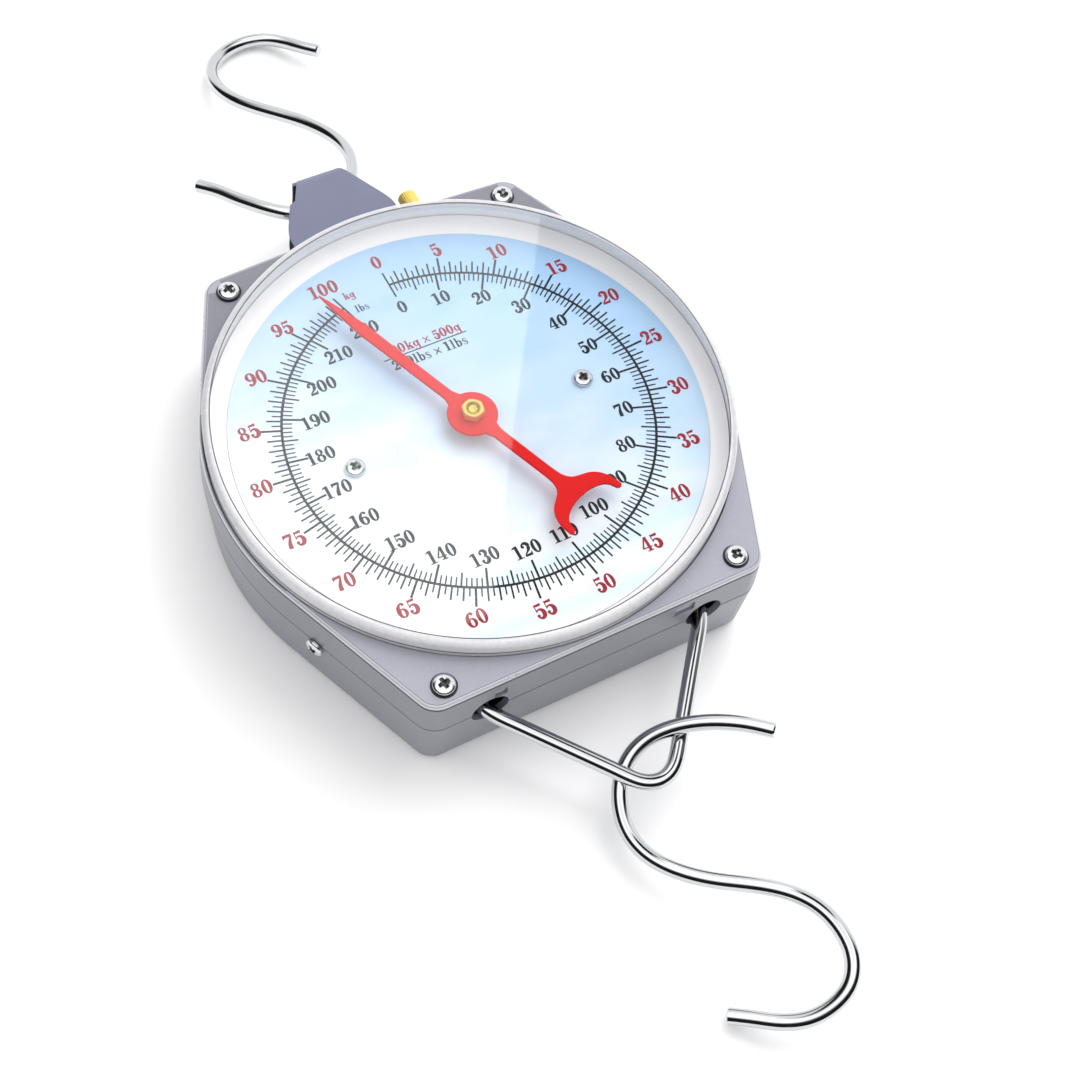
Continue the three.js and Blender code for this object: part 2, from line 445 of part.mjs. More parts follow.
const upPlane = (y) => 3.1 + 0.22 * (256 - y);
{
  const pts = [[41.3, 231.2], [35.3, 238.5], [29.6, 246.1], [22.4, 252.2], [13.2, 254.1], [3.9, 251.9], [-4.0, 246.6], [-8.8, 238.6], [-10.1, 229.4], [-8.6, 220.2], [-4.8, 211.6], [0.4, 203.7], [6.1, 196.2], [11.7, 188.5], [16.4, 180.3], [19.9, 171.6], [21.6, 162.4], [20.8, 153.1], [17.5, 144.3], [12.0, 136.7], [4.2, 131.3], [-5.2, 129.9], [-14.5, 132.1], [-22.8, 136.7], [-29.6, 143.3], [-34.4, 151.4], [-38.5, 159.9], [-44.2, 167.4]];
  add('upper_hook', bar(pts.map(([x, y]) => [x, y, upPlane(y)]), R, 8, 46), CHROME());
}

export default root;
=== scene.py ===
import math

import bmesh
import bpy
import numpy as np
from mathutils import Matrix, Vector
from mathutils.geometry import delaunay_2d_cdt


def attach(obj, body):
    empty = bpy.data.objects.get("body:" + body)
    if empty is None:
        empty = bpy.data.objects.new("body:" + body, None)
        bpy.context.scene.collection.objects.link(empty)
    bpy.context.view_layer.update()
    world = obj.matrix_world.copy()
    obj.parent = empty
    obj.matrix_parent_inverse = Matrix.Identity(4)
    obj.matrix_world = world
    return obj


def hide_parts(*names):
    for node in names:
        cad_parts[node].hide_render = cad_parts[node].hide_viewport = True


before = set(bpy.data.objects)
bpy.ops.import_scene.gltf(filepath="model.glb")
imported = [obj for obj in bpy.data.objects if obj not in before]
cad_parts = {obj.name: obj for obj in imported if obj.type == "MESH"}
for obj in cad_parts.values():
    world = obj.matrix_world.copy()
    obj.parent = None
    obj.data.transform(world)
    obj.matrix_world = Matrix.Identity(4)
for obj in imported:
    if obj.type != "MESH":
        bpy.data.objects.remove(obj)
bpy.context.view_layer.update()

MM = 0.001
SCENE = bpy.context.scene

# ---------------------------------------------------------------- camera
cam_data = bpy.data.cameras.new("camera")
cam = bpy.data.objects.new("camera", cam_data)
SCENE.collection.objects.link(cam)
cam_data.lens = 57.80
cam_data.sensor_width = 36.0
cam_data.clip_start, cam_data.clip_end = 0.01, 30
RIGHT = Vector((0.87752, -0.47028, 0.09380)).normalized()
FORWARD = Vector((0.30500, 0.39639, -0.86594)).normalized()
UP = RIGHT.cross(FORWARD).normalized()
ROT = Matrix((RIGHT, UP, -FORWARD)).transposed().to_4x4()
cam.matrix_world = Matrix.Translation((-0.19671, -0.31182, 0.60014)) @ ROT
SCENE.camera = cam


# ---------------------------------------------------------------- mesh helpers
def link(obj):
    SCENE.collection.objects.link(obj)
    return obj


def mesh_from(name, verts, faces, sharp=32.0, matrix=None):
    """Object from millimetre vertices; faces end up pointing out, edges over `sharp` degrees stay sharp."""
    me = bpy.data.meshes.new(name)
    me.from_pydata([(x * MM, y * MM, z * MM) for x, y, z in verts], [], faces)
    bm = bmesh.new()
    bm.from_mesh(me)
    bmesh.ops.remove_doubles(bm, verts=bm.verts, dist=1e-7)
    bmesh.ops.recalc_face_normals(bm, faces=bm.faces)
    bm.to_mesh(me)
    bm.free()
    if matrix is not None:
        me.transform(matrix)
    finish_shading(me, sharp)
    return link(bpy.data.objects.new(name, me))


def finish_shading(me, sharp=32.0):
    for p in me.polygons:
        p.use_smooth = True
    me.set_sharp_from_angle(angle=math.radians(sharp))
    me.update()


def weighted(obj):
    m = obj.modifiers.new("weighted", "WEIGHTED_NORMAL")
    m.keep_sharp = True
    m.weight = 70
    return obj


def freeze(obj, sharp=32.0):
    """Applies the modifiers."""
    bpy.context.view_layer.update()
    dg = bpy.context.evaluated_depsgraph_get()
    me = bpy.data.meshes.new_from_object(obj.evaluated_get(dg))
    obj.modifiers.clear()
    old = obj.data
    obj.data = me
    me.name = obj.name
    bpy.data.meshes.remove(old)
    finish_shading(me, sharp)
    return obj


def boolean(obj, cutters, op="DIFFERENCE", sharp=32.0):
    for c in cutters:
        m = obj.modifiers.new("b", "BOOLEAN")
        m.object, m.operation, m.solver = c, op, "EXACT"
    freeze(obj, sharp)
    for c in cutters:
        me = c.data
        bpy.data.objects.remove(c)
        bpy.data.meshes.remove(me)
    return obj


def fillet(points, radii, closed=True, seg=5):
    """Rounds the corners of a polyline; radii is a number or one number for each corner."""
    n = len(points)
    if not hasattr(radii, "__len__"):
        radii = [radii] * n
    out = []
    for i, p in enumerate(points):
        r = radii[i]
        if r <= 0 or (not closed and i in (0, n - 1)):
            out.append(tuple(p))
            continue
        a, b, c = Vector(points[i - 1]), Vector(p), Vector(points[(i + 1) % n])
        u, v = a - b, c - b
        lu, lv = u.length, v.length
        if lu < 1e-9 or lv < 1e-9:
            out.append(tuple(p))
            continue
        u, v = u / lu, v / lv
        dot = max(-1.0, min(1.0, u.dot(v)))
        ang = math.acos(dot)
        if ang > math.pi - 0.02 or ang < 0.02:
            out.append(tuple(p))
            continue
        t = min(r / math.tan(ang / 2), 0.49 * lu, 0.49 * lv)
        rr = t * math.tan(ang / 2)
        centre = b + (u + v).normalized() * (rr / math.sin(ang / 2))
        s, e = b + u * t - centre, b + v * t - centre
        sweep = math.pi - ang
        for k in range(seg + 1):
            f = k / seg
            q = (s * math.sin((1 - f) * sweep) + e * math.sin(f * sweep)) / math.sin(sweep)
            out.append(tuple(centre + q))
    return out


def lathe(name, profile, n=96, matrix=None, sharp=32.0, radius_of=None):
    """Body of revolution about Z. profile holds (radius, z) in mm and either ends on the axis or closes on itself."""
    prof = [(float(r), float(z)) for r, z in profile]
    on_axis = prof[0][0] < 1e-9 and prof[-1][0] < 1e-9
    verts, rings = [], []
    for r, z in prof:
        if r < 1e-9:
            rings.append([len(verts)] * n)
            verts.append((0, 0, z))
        else:
            rings.append(list(range(len(verts), len(verts) + n)))
            for i in range(n):
                a = 2 * math.pi * i / n
                q = radius_of(r, z, a) if radius_of else r
                verts.append((q * math.cos(a), q * math.sin(a), z))
    faces = []
    m = len(rings)
    for k in range(m - 1 if on_axis else m):
        A, B = rings[k], rings[(k + 1) % m]
        for i in range(n):
            j = (i + 1) % n
            f = [A[i], A[j], B[j], B[i]]
            f = [x for q, x in enumerate(f) if x != f[q - 1]]
            if len(set(f)) >= 3:
                faces.append(f)
    return mesh_from(name, verts, faces, sharp, matrix)


def plate_from(name, outer, z0, z1, holes=(), edge=0.25, seg=2, sharp=32.0, matrix=None):
    """Flat plate from a closed outline (mm) with round holes, its long edges rounded."""
    n = len(outer)
    verts = [(x, y, z0) for x, y in outer] + [(x, y, z1) for x, y in outer]
    faces = [list(range(n - 1, -1, -1)), list(range(n, 2 * n))]
    for i in range(n):
        j = (i + 1) % n
        faces.append([i, j, n + j, n + i])
    obj = mesh_from(name, verts, faces, sharp)
    cut = []
    for x, y, r, *rest in holes:
        h = lathe("hole", [(0, z0 - 3), (r, z0 - 3), (r, z1 + 3), (0, z1 + 3)], 64)
        h.data.transform(Matrix.Translation((x * MM, y * MM, 0)))
        cut.append(h)
    if cut:
        boolean(obj, cut)
    if edge > 0:
        m = obj.modifiers.new("edge", "BEVEL")
        m.width, m.segments, m.limit_method, m.angle_limit = edge * MM, seg, "ANGLE", math.radians(50)
        m.use_clamp_overlap = True
        freeze(obj, sharp)
    if matrix is not None:
        obj.data.transform(matrix)
    weighted(obj)
    return obj


def tube(name, pts, r, sides=32, chamfer=0.5, sharp=40.0, ends=True):
    """Round bar swept along points (mm), with a small chamfer on each cut end."""
    P = np.array(pts, float)
    T = np.gradient(P, axis=0)
    T /= np.linalg.norm(T, axis=1)[:, None]
    N = np.cross(T[0], [0.13, 0.21, 0.97])
    N /= np.linalg.norm(N)
    frames = [N]
    for i in range(1, len(P)):
        N = N - T[i] * (N @ T[i])
        N /= np.linalg.norm(N)
        frames.append(N)
    stations = []
    if ends:
        stations.append((P[0], T[0], frames[0], r - chamfer, 0.0))
        stations.append((P[0], T[0], frames[0], r, chamfer))
    for i in range(1 if ends else 0, len(P) - (1 if ends else 0)):
        stations.append((P[i], T[i], frames[i], r, 0.0))
    if ends:
        stations.append((P[-1], T[-1], frames[-1], r, -chamfer))
        stations.append((P[-1], T[-1], frames[-1], r - chamfer, 0.0))
    verts, faces = [], []
    for p, t, nv, rad, along in stations:
        b = np.cross(t, nv)
        for k in range(sides):
            a = 2 * math.pi * k / sides
            verts.append(tuple(p + t * along + rad * (math.cos(a) * nv + math.sin(a) * b)))
    for i in range(len(stations) - 1):
        for k in range(sides):
            l = (k + 1) % sides
            faces.append([i * sides + k, i * sides + l, (i + 1) * sides + l, (i + 1) * sides + k])
    faces.append(list(range(sides - 1, -1, -1)))
    e = (len(stations) - 1) * sides
    faces.append([e + k for k in range(sides)])
    return weighted(mesh_from(name, verts, faces, sharp))


def centripetal(points, per=24):
    P = np.array(points, float)
    Q = np.vstack([2 * P[0] - P[1], P, 2 * P[-1] - P[-2]])
    out = []
    for i in range(1, len(Q) - 2):
        p0, p1, p2, p3 = Q[i - 1], Q[i], Q[i + 1], Q[i + 2]
        d = [max(np.linalg.norm(a - b) ** 0.5, 1e-6) for a, b in ((p1, p0), (p2, p1), (p3, p2))]
        t0, t1 = 0.0, d[0]
        t2 = t1 + d[1]
        t3 = t2 + d[2]
        for u in np.linspace(0, 1, per, endpoint=False):
            t = t1 + (t2 - t1) * u
            A1 = (t1 - t) / (t1 - t0) * p0 + (t - t0) / (t1 - t0) * p1
            A2 = (t2 - t) / (t2 - t1) * p1 + (t - t1) / (t2 - t1) * p2
            A3 = (t3 - t) / (t3 - t2) * p2 + (t - t2) / (t3 - t2) * p3
            B1 = (t2 - t) / (t2 - t0) * A1 + (t - t0) / (t2 - t0) * A2
            B2 = (t3 - t) / (t3 - t1) * A2 + (t - t1) / (t3 - t1) * A3
            out.append((t2 - t) / (t2 - t1) * B1 + (t - t1) / (t2 - t1) * B2)
    out.append(P[-1])
    return np.array(out)


def even(P, step):
    d = np.r_[0, np.cumsum(np.linalg.norm(np.diff(P, axis=0), axis=1))]
    n = max(2, int(round(d[-1] / step)) + 1)
    s = np.linspace(0, d[-1], n)
    return np.c_[[np.interp(s, d, P[:, k]) for k in range(3)]].T


def smooth_line(P, sigma, step=1.0):
    """Even, fair line through the points: a Gaussian along the arc with the shrinkage put back, ends kept."""
    P = even(P, step)
    pad = int(4 * sigma / step)

    def gauss(A):
        L = 2 * A[0] - A[pad:0:-1]
        R = 2 * A[-1] - A[-2:-pad - 2:-1]
        B = np.vstack([L, A, R])
        k = np.exp(-0.5 * (np.arange(-pad, pad + 1) * step / sigma) ** 2)
        k /= k.sum()
        return np.c_[[np.convolve(B[:, c], k, "valid") for c in range(3)]].T

    S = gauss(P)
    S = S + gauss(P - S)
    S = S + 0.6 * gauss(P - S)
    return even(S, step)


# ---------------------------------------------------------------- materials
def srgb(r, g, b):
    f = lambda c: c / 255 / 12.92 if c / 255 <= 0.04045 else ((c / 255 + 0.055) / 1.055) ** 2.4
    return (f(r), f(g), f(b), 1.0)


def new_mat(name):
    m = bpy.data.materials.new(name)
    m.use_nodes = True
    nt = m.node_tree
    nt.nodes.clear()
    out = nt.nodes.new("ShaderNodeOutputMaterial")
    bsdf = nt.nodes.new("ShaderNodeBsdfPrincipled")
    nt.links.new(bsdf.outputs["BSDF"], out.inputs["Surface"])
    tc = nt.nodes.new("ShaderNodeTexCoord")
    return m, nt, bsdf, tc.outputs["Object"], out


def noise(nt, coord, scale, detail=3.0, rough=0.55, stretch=None):
    if stretch is not None:
        mp = nt.nodes.new("ShaderNodeMapping")
        mp.inputs["Scale"].default_value = stretch
        nt.links.new(coord, mp.inputs["Vector"])
        coord = mp.outputs["Vector"]
    n = nt.nodes.new("ShaderNodeTexNoise")
    n.inputs["Scale"].default_value = scale
    n.inputs["Detail"].default_value = detail
    n.inputs["Roughness"].default_value = rough
    nt.links.new(coord, n.inputs["Vector"])
    return n.outputs["Fac"]


def remap(nt, value, a, b, c, d, clamp=True):
    n = nt.nodes.new("ShaderNodeMapRange")
    n.clamp = clamp
    for i, v in enumerate((a, b, c, d)):
        n.inputs[i + 1].default_value = v
    nt.links.new(value, n.inputs[0])
    return n.outputs[0]


def ramp(nt, value, stops):
    n = nt.nodes.new("ShaderNodeValToRGB")
    e = n.color_ramp.elements
    while len(e) < len(stops):
        e.new(0.5)
    for el, (p, c) in zip(e, stops):
        el.position, el.color = p, c
    nt.links.new(value, n.inputs["Fac"])
    return n.outputs["Color"]


def mix_rgb(nt, fac, a, b, mode="MIX"):
    n = nt.nodes.new("ShaderNodeMix")
    n.data_type, n.blend_type = "RGBA", mode
    for sock, v in ((n.inputs[0], fac), (n.inputs[6], a), (n.inputs[7], b)):
        if isinstance(v, bpy.types.NodeSocket):
            nt.links.new(v, sock)
        else:
            sock.default_value = v
    return n.outputs[2]


def math_node(nt, op, a, b=0.0):
    n = nt.nodes.new("ShaderNodeMath")
    n.operation = op
    for sock, v in ((n.inputs[0], a), (n.inputs[1], b)):
        if isinstance(v, bpy.types.NodeSocket):
            nt.links.new(v, sock)
        else:
            sock.default_value = v
    return n.outputs[0]


def bump(nt, bsdf, height, distance, strength=1.0):
    n = nt.nodes.new("ShaderNodeBump")
    n.inputs["Distance"].default_value = distance
    n.inputs["Strength"].default_value = strength
    nt.links.new(height, n.inputs["Height"])
    nt.links.new(n.outputs["Normal"], bsdf.inputs["Normal"])


def scaled(c, k):
    return (min(1, c[0] * k), min(1, c[1] * k), min(1, c[2] * k), 1.0)


def surface(name, color, rough, metal=0.0, coat=0.0, coat_rough=0.1, spread=0.08, rough_spread=0.05,
            cloud=60, grain=2200, bump_mm=0.004, specks=None, stretch=None, ior=1.5, aniso=0.0):
    """Solid finish with cloudy tone, fine grain in roughness and relief, and sparse specks."""
    m, nt, b, co, _ = new_mat(name)
    b.inputs["Metallic"].default_value = metal
    b.inputs["Coat Weight"].default_value = coat
    b.inputs["Coat Roughness"].default_value = coat_rough
    b.inputs["IOR"].default_value = ior
    b.inputs["Anisotropic"].default_value = aniso
    cloudy = noise(nt, co, cloud, 4.0, 0.6)
    col = ramp(nt, cloudy, [(0.25, scaled(color, 1 - spread)), (0.75, scaled(color, 1 + spread * 0.8))])
    if specks is not None:
        dots = noise(nt, co, 1700, 1.0, 0.4)
        col = mix_rgb(nt, remap(nt, dots, 0.70, 0.78, 0.0, 0.65), col, specks)
    nt.links.new(col, b.inputs["Base Color"])
    fine = noise(nt, co, grain, 3.0, 0.6, stretch)
    both = math_node(nt, "ADD", math_node(nt, "MULTIPLY", fine, 0.6), math_node(nt, "MULTIPLY", cloudy, 0.4))
    nt.links.new(remap(nt, both, 0.3, 0.7, max(0.02, rough - rough_spread), rough + rough_spread), b.inputs["Roughness"])
    bump(nt, b, fine, bump_mm * MM)
    return m


M = {}
M["paint"] = surface("case_paint", srgb(122, 123, 132), 0.38, 0.15, 0.2, 0.25, 0.05, 0.05, 35, 1100, 0.008, srgb(164, 165, 174))
# painted light: a lighter copy of the case paint for the flat top plate, where the light falls from above
M["top_painted_light"] = surface("case_top_painted_light", srgb(157, 158, 169), 0.36, 0.15, 0.2, 0.25, 0.04, 0.05, 35, 1100, 0.008, srgb(184, 185, 194))
# painted highlight: a light copy of the case paint for the rolled edge and the notch face, standing in for the shine
# on them
M["edge_painted_highlight"] = surface("case_edge_painted_highlight", srgb(196, 197, 204), 0.30, 0.3, 0.3, 0.15, 0.04, 0.05, 60, 900, 0.002)
# painted shade: a dark copy of the case paint for the fine groove under the rolled edge and the ring round each screw
# head
M["groove_painted_shade"] = surface("case_groove_painted_shade", srgb(66, 66, 72), 0.55, 0.0, 0.0, 0.25, 0.12, 0.06, 60, 1100, 0.008)
# painted shade: darker metal for the inside of the cross slot in the screw heads
M["recess"] = surface("screw_recess", srgb(96, 96, 100), 0.42, 0.8, 0.0, 0.1, 0.15, 0.08, 700, 4200, 0.003)
# painted shade: near-black material for the inside of the strap's fold
M["dark_inside"] = surface("hanger_inside_painted_shade", srgb(44, 45, 52), 0.6, 0.1, 0.0, 0.3, 0.15, 0.06, 80, 1000, 0.010)
M["hanger_paint"] = surface("hanger_paint", srgb(108, 111, 133), 0.42, 0.1, 0.15, 0.3, 0.05, 0.06, 50, 1000, 0.012, srgb(146, 148, 168))
M["chrome"] = surface("chrome_bar", srgb(203, 205, 208), 0.09, 1.0, 0.0, 0.1, 0.03, 0.035, 120, 900, 0.0018)
M["zinc"] = surface("zinc_screw", srgb(222, 223, 226), 0.17, 1.0, 0.0, 0.1, 0.06, 0.07, 700, 4200, 0.002)
M["brass"] = surface("brass", srgb(248, 220, 120), 0.34, 0.85, 0.0, 0.1, 0.08, 0.06, 500, 3800, 0.002)
M["steel"] = surface("frame_steel", srgb(176, 178, 182), 0.34, 1.0, 0.0, 0.1, 0.06, 0.08, 80, 1800, 0.003, None, (1.0, 14.0, 1.0))
M["spring"] = surface("spring_steel", srgb(120, 123, 128), 0.30, 1.0, 0.0, 0.1, 0.08, 0.08, 160, 2600, 0.003)
M["nylon"] = surface("guide_nylon", srgb(232, 228, 218), 0.5, 0.0, 0.0, 0.1, 0.03, 0.06, 90, 1500, 0.004)
M["red"] = surface("pointer_paint", srgb(212, 9, 9), 0.46, 0.0, 0.10, 0.12, 0.04, 0.06, 160, 1600, 0.006, srgb(196, 14, 13))
M["red"].node_tree.nodes["Principled BSDF"].inputs["Specular IOR Level"].default_value = 0.22
M["ink_black"] = surface("ink_black", srgb(26, 26, 30), 0.6, 0.0, 0.0, 0.1, 0.25, 0.06, 900, 3000, 0.001)
M["ink_red"] = surface("ink_red", srgb(150, 20, 34), 0.55, 0.0, 0.0, 0.1, 0.12, 0.06, 900, 3000, 0.001)
M["surround"] = surface("pearl_ring", srgb(240, 235, 234), 0.38, 0.0, 0.2, 0.2, 0.03, 0.08, 40, 1400, 0.006)


def dial_material():
    """Printed face: pale blue sky fading to white at the bottom, soft clouds and faint waves."""
    m, nt, b, co, _ = new_mat("dial_print")
    b.inputs["Coat Weight"].default_value = 0.25
    b.inputs["Coat Roughness"].default_value = 0.25
    sep = nt.nodes.new("ShaderNodeSeparateXYZ")
    nt.links.new(co, sep.inputs[0])
    x, y = sep.outputs[0], sep.outputs[1]
    slope = math_node(nt, "ADD", math_node(nt, "MULTIPLY", y, 0.82), math_node(nt, "MULTIPLY", x, 0.57))
    clouds = noise(nt, co, 26, 4.0, 0.55, (1.0, 2.2, 1.0))
    slope = math_node(nt, "ADD", slope, remap(nt, clouds, 0.3, 0.7, -0.018, 0.018))
    sky = ramp(nt, remap(nt, slope, -0.072, 0.075, 0.0, 1.0), [
        (0.0, srgb(240, 241, 242)), (0.26, srgb(226, 232, 238)), (0.60, srgb(190, 211, 231)), (1.0, srgb(158, 193, 226))])
    wave = nt.nodes.new("ShaderNodeTexWave")
    wave.wave_type, wave.bands_direction, wave.wave_profile = "BANDS", "Y", "SIN"
    wave.inputs["Scale"].default_value = 17
    wave.inputs["Distortion"].default_value = 5.0
    wave.inputs["Detail"].default_value = 1.5
    wave.inputs["Detail Scale"].default_value = 0.35
    nt.links.new(co, wave.inputs["Vector"])
    crest = remap(nt, wave.outputs["Fac"], 0.55, 0.95, 0.0, 1.0)
    low = remap(nt, y, -0.040, -0.060, 0.0, 0.38)
    col = mix_rgb(nt, math_node(nt, "MULTIPLY", crest, low), sky, srgb(196, 229, 250))
    grain = noise(nt, co, 2600, 2.0, 0.5)
    col = mix_rgb(nt, remap(nt, grain, 0.35, 0.65, 0.0, 0.05), col, srgb(150, 190, 225))
    nt.links.new(col, b.inputs["Base Color"])
    nt.links.new(remap(nt, grain, 0.3, 0.7, 0.36, 0.48), b.inputs["Roughness"])
    bump(nt, b, grain, 0.002 * MM)
    return m


M["dial"] = dial_material()


def skin_fresnel(nt, ior):
    """Fresnel of one thin sheet face, the same from both sides, since light runs straight through the sheet."""
    fr = nt.nodes.new("ShaderNodeFresnel")
    geo = nt.nodes.new("ShaderNodeNewGeometry")
    nt.links.new(remap(nt, geo.outputs["Backfacing"], 0.0, 1.0, ior, 1.0 / ior), fr.inputs["IOR"])
    return fr.outputs[0]


def lens_material():
    """Clear cover: lets light straight through, mirrors by Fresnel, faint haze of fine scratches."""
    m = bpy.data.materials.new("clear_cover")
    m.use_nodes = True
    nt = m.node_tree
    nt.nodes.clear()
    out = nt.nodes.new("ShaderNodeOutputMaterial")
    tr = nt.nodes.new("ShaderNodeBsdfTransparent")
    tr.inputs["Color"].default_value = (0.985, 0.992, 0.996, 1)
    gl = nt.nodes.new("ShaderNodeBsdfGlossy")
    gl.inputs["Color"].default_value = (1, 1, 1, 1)
    tc = nt.nodes.new("ShaderNodeTexCoord")
    haze = noise(nt, tc.outputs["Object"], 300, 4.0, 0.65, (1.0, 6.0, 1.0))
    nt.links.new(remap(nt, haze, 0.35, 0.75, 0.012, 0.06), gl.inputs["Roughness"])
    mx = nt.nodes.new("ShaderNodeMixShader")
    nt.links.new(skin_fresnel(nt, 1.49), mx.inputs[0])
    nt.links.new(tr.outputs[0], mx.inputs[1])
    nt.links.new(gl.outputs[0], mx.inputs[2])
    nt.links.new(mx.outputs[0], out.inputs["Surface"])
    return m


def lens_wall_material(name, low, high, least):
    """The cover's moulded wall: pale see-through plastic with a mirror-like skin and fine scuffs."""
    m, nt, b, co, out = new_mat(name)
    b.inputs["IOR"].default_value = 1.49
    fine = noise(nt, co, 500, 3.0, 0.6)
    nt.links.new(ramp(nt, fine, [(0.3, low), (0.7, high)]), b.inputs["Base Color"])
    nt.links.new(remap(nt, fine, 0.3, 0.7, 0.08, 0.13), b.inputs["Roughness"])
    tr = nt.nodes.new("ShaderNodeBsdfTransparent")
    tr.inputs["Color"].default_value = (0.97, 0.975, 0.98, 1)
    mx = nt.nodes.new("ShaderNodeMixShader")
    nt.links.new(remap(nt, skin_fresnel(nt, 1.6), 0.05, 0.6, least, 0.96), mx.inputs[0])
    nt.links.new(tr.outputs[0], mx.inputs[1])
    nt.links.new(b.outputs[0], mx.inputs[2])
    nt.links.new(mx.outputs[0], out.inputs["Surface"])
    return m


M["lens"] = lens_material()
M["lens_wall"] = lens_wall_material("clear_cover_wall", srgb(206, 206, 210), srgb(218, 218, 222), 0.66)
# painted light: a whiter, less see-through copy of the wall material for the wall's inner faces, making up for the
# shade they sit in
M["lens_inner"] = lens_wall_material("clear_cover_inner_painted_light", srgb(242, 239, 238), srgb(250, 248, 247), 0.90)
# painted shade: dark grey on the cover's two fine grooves, standing in for the dark lines its edges show
M["cover_line_painted_shade"] = surface("cover_line_painted_shade", srgb(92, 92, 98), 0.35, 0.0, 0.0, 0.1, 0.15, 0.08, 300, 1800, 0.002)


def place(obj, material, body, slot, *nodes):
    """Gives a new piece its material and body, and hides the CAD nodes it stands for. The slot argument is not used.
    """
    if isinstance(material, str):
        material = M[material]
    if len(obj.data.materials) == 0:
        obj.data.materials.append(material)
    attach(obj, body)
    if nodes:
        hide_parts(*nodes)
    return obj


# ---------------------------------------------------------------- case
CIRCLES = [(0.0, 0.0, 103.8), (62.6, -94.8, 9.8), (-62.6, -94.8, 9.8), (61.4, 91.0, 9.8), (-61.4, 91.0, 9.8)]


def outline(offset, n=300):
    def best(a):
        return max(range(5), key=lambda i: CIRCLES[i][0] * math.cos(a) + CIRCLES[i][1] * math.sin(a) + CIRCLES[i][2])

    angles = []
    last = None
    for i in range(n):
        a = 2 * math.pi * i / n
        k = best(a)
        if last is not None and k != last:
            lo, hi = 2 * math.pi * (i - 1) / n, a
            for _ in range(50):
                m = (lo + hi) / 2
                if best(m) == last:
                    lo = m
                else:
                    hi = m
            angles += [(lo, last), (lo, k)]
            # extra points round the small corner
        angles.append((a, k))
        last = k
    # finer steps on the small corners
    fine = []
    for q, (a, k) in enumerate(angles):
        fine.append((a, k))
        a2, k2 = angles[(q + 1) % len(angles)]
        if a2 < a:
            a2 += 2 * math.pi
        if k == k2 and k > 0 and a2 > a:
            fine += [(a + (a2 - a) * f, k) for f in (1 / 3, 2 / 3)]
    out = []
    for a, k in fine:
        x, y, r = CIRCLES[k]
        out.append((x + (r - offset) * math.cos(a), y + (r - offset) * math.sin(a)))
    return out


def stacked(name, levels, sharp=32.0):
    rings = [outline(o) for _, o in levels]
    n = len(rings[0])
    verts = [(x, y, z) for (z, _), ring in zip(levels, rings) for x, y in ring]
    faces = []
    for k in range(len(levels) - 1):
        for i in range(n):
            j = (i + 1) % n
            faces.append([k * n + i, k * n + j, (k + 1) * n + j, (k + 1) * n + i])
    faces.append(list(range(n - 1, -1, -1)))
    faces.append([(len(levels) - 1) * n + i for i in range(n)])
    return mesh_from(name, verts, faces, sharp)


def rod(r, p0, p1, n=64):
    """Cutting cylinder from p0 to p1 (mm)."""
    a, b = Vector(p0), Vector(p1)
    d = b - a
    o = lathe("rod", [(0, 0), (r, 0), (r, d.length), (0, d.length)], n)
    q = d.to_track_quat("Z", "Y").to_matrix().to_4x4()
    o.data.transform(Matrix.Translation(a * MM) @ q)
    return o


def block(x0, x1, y0, y1, z0, z1, matrix=None):
    v = [(x, y, z) for x in (x0, x1) for y in (y0, y1) for z in (z0, z1)]
    f = [[0, 1, 3, 2], [4, 6, 7, 5], [0, 4, 5, 1], [2, 3, 7, 6], [0, 2, 6, 4], [1, 5, 7, 3]]
    return mesh_from("block", v, f, 32.0, matrix)


def arc_levels(z_of, o_of, n):
    return [(z_of(i / n), o_of(i / n)) for i in range(n + 1)]


case_screws = {"low_right": (60.4, -96.3), "low_left": (-60.4, -96.3), "top_right": (60.6, 91.4), "top_left": (-60.6, 91.4)}
SIDE_N = Vector((0.9245, -0.381, 0)).normalized()
Z_SEAM, Z_PLATE = 30.0, 48.0

# back shell: rounded lower edge, fine lip at the seam
lv = [(0.0, 5.4)]
for i in range(1, 9):
    a = i / 8 * math.pi / 2
    lv.append((3.9 * (1 - math.cos(a)), 1.55 + 3.85 * (1 - math.sin(a)) * 0.98))
lv += [(12, 1.05), (Z_SEAM - 0.75, 0.02), (Z_SEAM - 0.45, 0.05), (Z_SEAM - 0.2, 0.25)]
back = stacked("case_back", lv)
cuts = [stacked("inner", [(2.4, 6.6), (3.2, 5.0), (5.2, 4.1), (Z_SEAM + 1, 2.4)])]
cuts += [rod(7.5, (s * 45, -112, 30), (s * 45, -96, 30)) for s in (1, -1)]
cuts += [block(-24.5, 24.5, 96, 112, 23.3, 35.7)]
for s in (1, -1):
    n = Vector((s * SIDE_N.x, SIDE_N.y, 0))
    c = Vector((s * 90.0, -53.9, 27.6))
    cuts.append(rod(1.9, c - n * 10, c + n * 6, 32))
boolean(back, cuts)
weighted(back)
place(back, "paint", "case", "case_paint", "back_shell")

